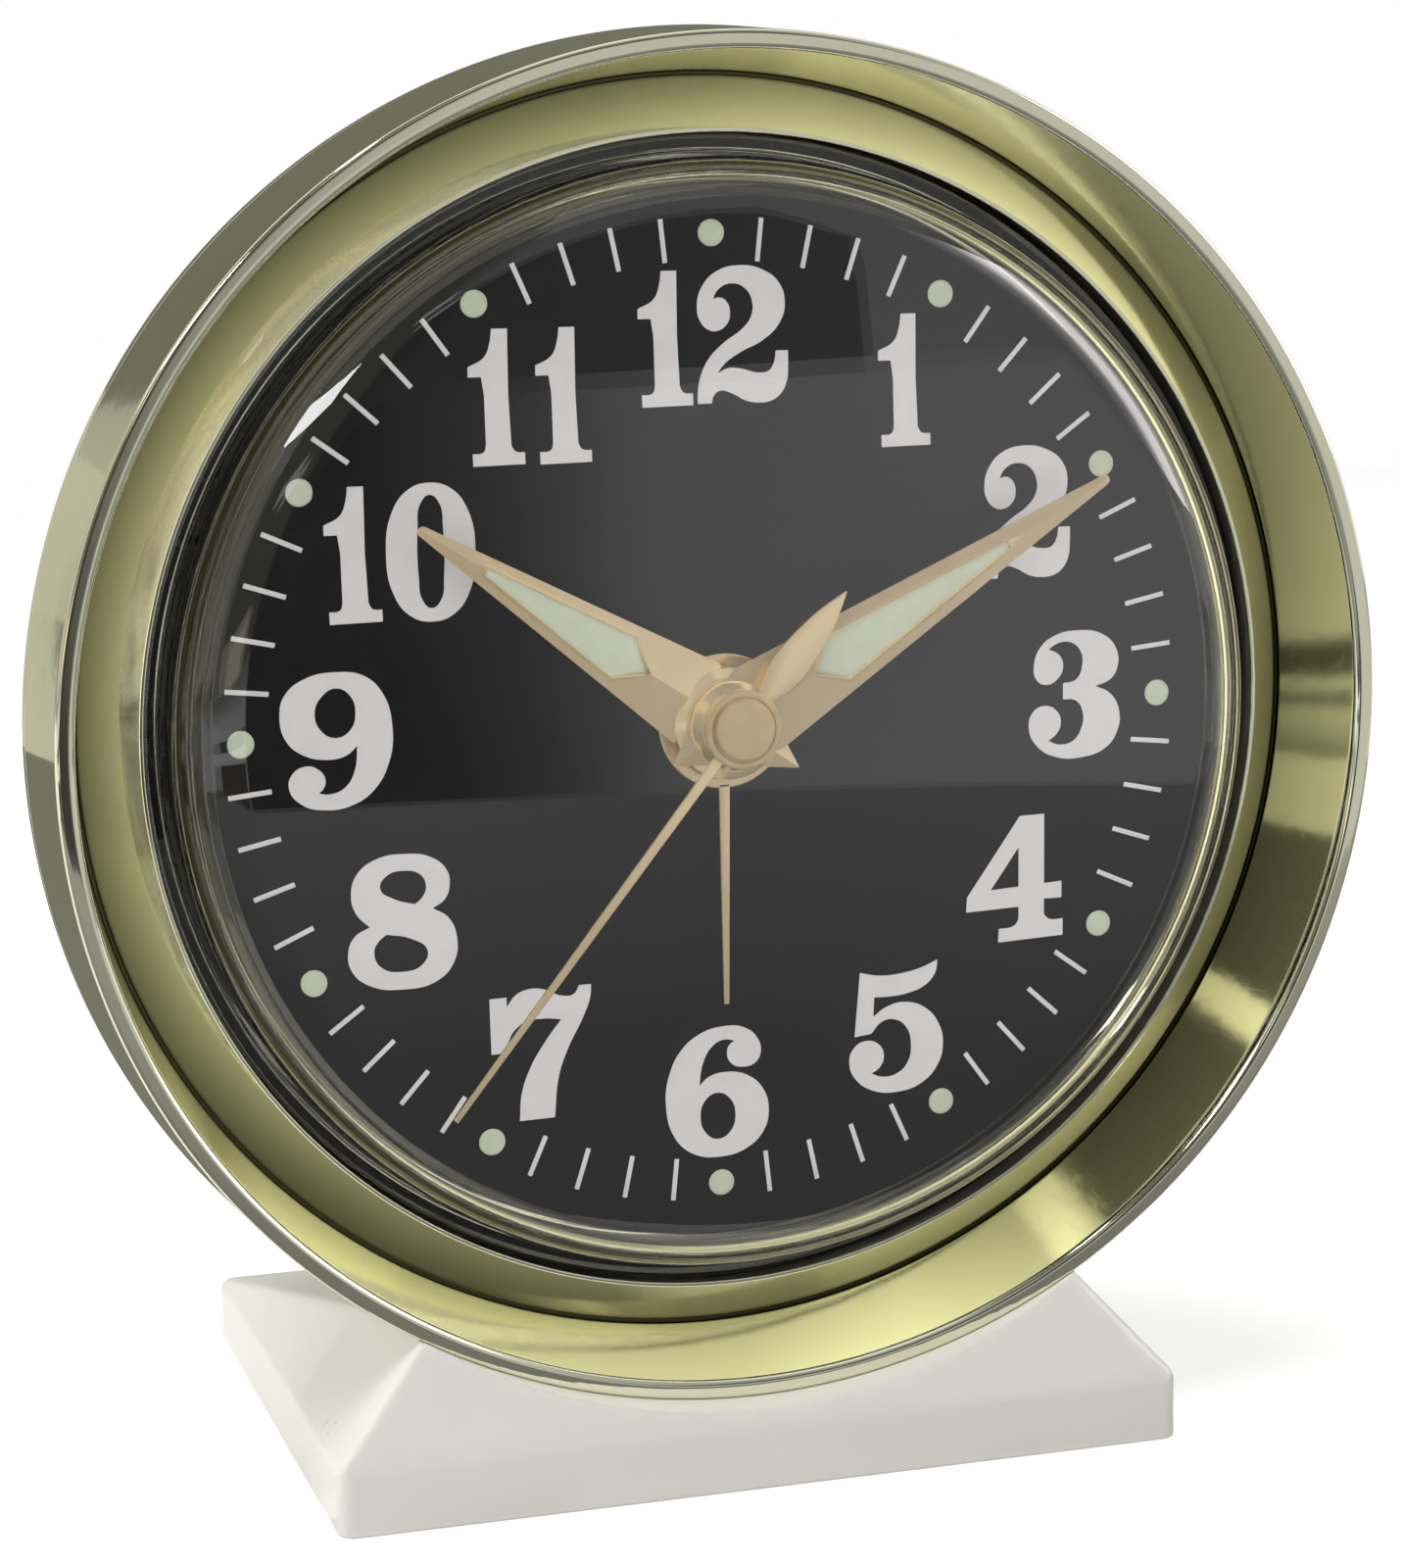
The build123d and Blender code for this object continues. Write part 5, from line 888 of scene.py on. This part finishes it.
def stageObject(name, mesh, finish):
    mesh.materials.append(finish)
    made = linked(name, mesh)
    return made


def stageSquare(name, half, height, finish):
    # a level square about the clock's foot
    mesh = bpy.data.meshes.new(name)
    corners = [(-half, -half, height), (half, -half, height), (half, half, height), (-half, half, height)]
    mesh.from_pydata(corners, [], [(0, 1, 2, 3)])
    return stageObject(name, mesh, finish)


def floorFinish():
    # white paper; the camera sees it a step lighter, so that it meets the white behind it
    made, tree, shader = newMaterial("floorPaper", Base_Color=(0.93, 0.93, 0.93, 1), Roughness=0.9,
                                     Specular_IOR_Level=0.0, Emission_Color=(1, 1, 1, 1))
    rays = put(tree, "LightPath", (-2, 0))
    share = maths(tree, "MULTIPLY", (-1, 0), _1=0.5)
    wire(tree, (rays, "Is Camera Ray", share, 0), (share, 0, shader, "Emission Strength"))
    return made


def boardFinish():
    # "shade" is the level of a first mirroring, "again" of what the gilt mirrors a second time inside the dish;
    # the print and the hands' paint, which these boards light through the crystal, get one even level
    made, tree, _ = newMaterial("studioBoard")
    tree.nodes.clear()
    first = put(tree, "Attribute", (-4, 1), {"attribute_name": "shade"})
    second = put(tree, "Attribute", (-4, 0), {"attribute_name": "again"})
    rays = put(tree, "LightPath", (-5, -1))
    mirrored = maths(tree, "GREATER_THAN", (-4, -1), _1=1.5)
    scattered = maths(tree, "GREATER_THAN", (-4, -2), _1=0.5)
    mix = put(tree, "Mix", (-3, 0), {"data_type": "RGBA"})
    last = put(tree, "Mix", (-2, 0), {"data_type": "RGBA"}, _7=(1.4, 1.4, 1.4, 1))
    glow = put(tree, "Emission", (0, 0), Strength=1.0)
    out = put(tree, "OutputMaterial", (1, 0))
    wire(tree, (rays, "Glossy Depth", mirrored, 0), (rays, "Diffuse Depth", scattered, 0), (mirrored, 0, mix, 0),
         (first, "Color", mix, 6), (second, "Color", mix, 7), (scattered, 0, last, 0), (mix, 2, last, 6),
         (last, 2, glow, "Color"), (glow, 0, out, "Surface"))
    return made


boardGlow = boardFinish()
againTint = (1.02, 1, 1.02)


def shadedGrid(name, points, azimuth, shades, again, tint, fade=1, through=True):
    # a grid that only reflections see; shades are (azimuth, level) pairs or one level, kept in vertex attributes
    mesh = gridMesh(points)
    for label, given, hue in (("shade", shades, tint), ("again", shades if again is None else again, againTint)):
        steps = np.array(given if np.ndim(given) else ((0, given),), float)
        level = np.interp(azimuth, *steps.T)
        colour = np.ones((level.size, 4), np.float32)
        colour[:, :3] = (level * fade).reshape(-1, 1) * np.array(hue)
        mesh.attributes.new(label, "FLOAT_COLOR", "POINT").data.foreach_set("color", colour.ravel())
    made = stageObject(name, mesh, boardGlow)
    made.visible_camera = made.visible_diffuse = made.visible_shadow = False
    made.visible_transmission = through


def board(name, azimuths, elevations, distance, shades, again=None, tint=(1, 1, 1), through=True):
    # a patch of a sphere about the dial's centre
    azimuth, elevation = np.meshgrid(np.linspace(*azimuths, 33), np.linspace(*elevations, 9), indexing="ij")
    points = distance * towards(azimuth, elevation) + (0, 0, axisUp * mm)
    shadedGrid(name, points, azimuth, shades, again, tint, through=through)


def mat(name, azimuths, distances, height, shades, again=None, tint=(1, 1, 1), fade=((0, 1), (9, 1))):
    # a piece of a ring on the floor about the dial's foot; fade is a second factor by distance
    azimuth, d = np.meshgrid(np.linspace(*azimuths, 33), np.linspace(*distances, 9), indexing="ij")
    a = np.radians(azimuth)
    points = np.stack([d * np.sin(a), dialFace * mm - d * np.cos(a), 0 * d + height], axis=-1)
    shadedGrid(name, points, azimuth, shades, again, tint, np.interp(d, *np.array(fade, float).T))


# the paper under the clock, and a wider floor that only mirrors and light meet
floorPaper = floorFinish()
stageSquare("floor_paper", 0.8, 0, floorPaper)
stageSquare("far_floor", 6, -0.001, floorPaper).visible_camera = False

# boards of the studio that the gilt and the crystal mirror
frontShades = ((-17, 0.04), (0, 0.055), (6, 0.2), (10, 0.4), (13, 0.6), (28, 0.65), (58, 0.65))
frontAgain = ((-17, 0.7), (-5, 0.6), (5, 0.9), (11, 0.7), (16, 0.8), (21, 1.8), (28, 2.7), (58, 2.2))
boards = {
    "left_dark": dict(azimuths=(-66, -17), elevations=(-1.5, 37), distance=2.4, shades=0.19, tint=(1, 1, 0.8)),
    "left_sill": dict(azimuths=(-54, -27), elevations=(-1.5, 4.6), distance=2.2, shades=1.0, tint=(1.12, 1.02, 0.78)),
    "left_pane": dict(azimuths=(-41, -29), elevations=(18.5, 21.5), distance=2.2, shades=1.8),
    "upper_pane": dict(azimuths=(-23, -15), elevations=(37.6, 40.2), distance=2.1, shades=2.2),
    "top_left_dark": dict(azimuths=(-110, -20), elevations=(37, 78), distance=2.5, shades=0.18, tint=(1, 1, 0.8)),
    "middle_board": dict(azimuths=(-17, 24), elevations=(8, 36), distance=2.3,
                         shades=((-17, 0.05), (0, 0.1), (24, 0.16)),
                         again=((-17, 0.5), (-11, 1.3), (0, 1.2), (10, 1.3), (24, 1.8))),
    "front_board": dict(azimuths=(-17, 58), elevations=(-1.5, 8), distance=2.35, shades=frontShades, again=frontAgain),
    "right_board": dict(azimuths=(24, 76), elevations=(8, 36), distance=2.3, shades=0.5, again=2.2),
    "ceiling": dict(azimuths=(-20, 75), elevations=(36, 66), distance=2.2, shades=((-20, 0.3), (-10, 0.4), (75, 0.5)),
                    again=((-20, 1.2), (-14, 1.25), (0, 2.05), (8, 2.05), (22, 1.65), (75, 1.6))),
    "left_wall": dict(azimuths=(-165, -66), elevations=(-1.5, 30), distance=2.3,
                      shades=((-165, 0.45), (-130, 0.62), (-66, 0.62)), tint=(1, 1, 0.82)),
    "back_dark": dict(azimuths=(150, 197), elevations=(-1.5, 62), distance=2.4, shades=0.18, tint=(1, 1, 0.75)),
    "back_light": dict(azimuths=(186, 205), elevations=(-8.5, 9.2), distance=0.36, shades=0.57, tint=(1, 1, 0.79)),
    "side_window": dict(azimuths=(40, 74), elevations=(7, 37), distance=2.0,
                        shades=((40, 0.5), (50, 2), (57, 9), (64, 9), (70, 2.5), (74, 1)), again=2.2,
                        tint=(1, 0.96, 0.97), through=False),
    "streak_window": dict(azimuths=(-72, -42), elevations=(34, 41), distance=2.0, shades=14.0, through=False),
    "short_streak": dict(azimuths=(-86, -70), elevations=(63, 68), distance=2.0, shades=14.0, through=False),
}
mats = {
    "near_mat": dict(azimuths=(-75, 75), distances=(0.02, 0.27), height=0.0004, shades=0.4,
                     again=((-75, 1), (-10, 0.9), (6, 0.9), (12, 2.0), (75, 2.0)),
                     fade=((0, 0.5), (0.08, 0.54), (0.15, 0.78), (0.26, 0.95))),
    "front_mat": dict(azimuths=(-17, 58), distances=(0.27, 2.4), height=0.0004, shades=frontShades, again=frontAgain),
    "sill_mat": dict(azimuths=(-60, -18), distances=(0.26, 0.36), height=0.0006, shades=0.11, tint=(1, 0.8, 0.65)),
    "sill_line": dict(azimuths=(-60, -18), distances=(0.42, 0.5), height=0.0006, shades=0.13),
    "back_mat": dict(azimuths=(125, 215), distances=(0.03, 2.4), height=0.0004, shades=0.2, tint=(1, 1, 0.8)),
    "right_mat": dict(azimuths=(58, 90), distances=(0.05, 0.3), height=0.0004, shades=0.28),
}
for name, shape in boards.items():
    board(name, **shape)
for name, shape in mats.items():
    mat(name, **shape)


def makeWorld(light, seenLevel):
    # one level for the light on the clock, and white for the camera, mirrors and glass
    world = bpy.data.worlds.new("studio")
    bpy.context.scene.world = world
    world.use_nodes = True
    tree = world.node_tree
    tree.nodes.clear()
    rays = put(tree, "LightPath", (-3, 0))
    glossy = maths(tree, "MAXIMUM", (-2, 0))
    seen = maths(tree, "MAXIMUM", (-1, 0))
    level = put(tree, "MapRange", (0, 0), To_Min=light, To_Max=seenLevel)
    back = put(tree, "Background", (1, 0), Color=(1, 1, 1, 1))
    out = put(tree, "OutputWorld", (2, 0))
    wire(tree, (rays, "Is Camera Ray", glossy, 0), (rays, "Is Glossy Ray", glossy, 1), (glossy, 0, seen, 0),
         (rays, "Is Transmission Ray", seen, 1), (seen, 0, level, "Value"), (level, 0, back, "Strength"),
         (back, 0, out, "Surface"))


lamps = {
    "top": dict(azimuth=-60, elevation=72, distance=0.8, power=4.6),
    "left": dict(azimuth=-105, elevation=28, distance=0.9, power=2.6),
}


def lampAround(name, azimuth, elevation, distance, power, size=0.5):
    # a soft square lamp, aimed at the dial's centre and not mirrored
    middle = Vector((0, 0, axisUp * mm))
    data = bpy.data.lights.new(name, "AREA")
    data.shape, data.size, data.energy = "SQUARE", size, power
    made = linked(name, data)
    made.location = middle + distance * Vector(towards(azimuth, elevation))
    made.rotation_euler = (middle - made.location).to_track_quat("-Z", "Y").to_euler()
    made.visible_glossy = made.visible_transmission = False


makeWorld(0.38, 1.0)
for name, shape in lamps.items():
    lampAround(name, **shape)

# the photograph's view, worked out from the dial's circle and the plinth's corners
viewShape = {"azimuth": -17.19, "elevation": 9.45, "roll": -0.69, "distance": 0.2659, "right": -0.001203,
             "up": 0.05055, "lens": 92.0, "sensor": 36}


def makeCamera(v):
    z = Vector(towards(v["azimuth"], v["elevation"]))
    x = Vector((0, 0, 1)).cross(z).normalized()
    y = z.cross(x)
    roll = radians(v["roll"])
    x, y = np.cos(roll) * x + np.sin(roll) * y, -np.sin(roll) * x + np.cos(roll) * y
    data = bpy.data.cameras.new("photoView")
    data.lens, data.sensor_width, data.sensor_fit = v["lens"], v["sensor"], "HORIZONTAL"
    data.clip_start = 0.01
    made = linked("photoView", data)
    aim = Vector((v["right"], dialFace * mm, v["up"]))
    made.matrix_world = Matrix.Translation(aim + z * v["distance"]) @ Matrix((x, y, z)).transposed().to_4x4()
    bpy.context.scene.camera = made


makeCamera(viewShape)
bpy.context.scene.view_settings.view_transform = "Standard"
print("stage, light and camera made")
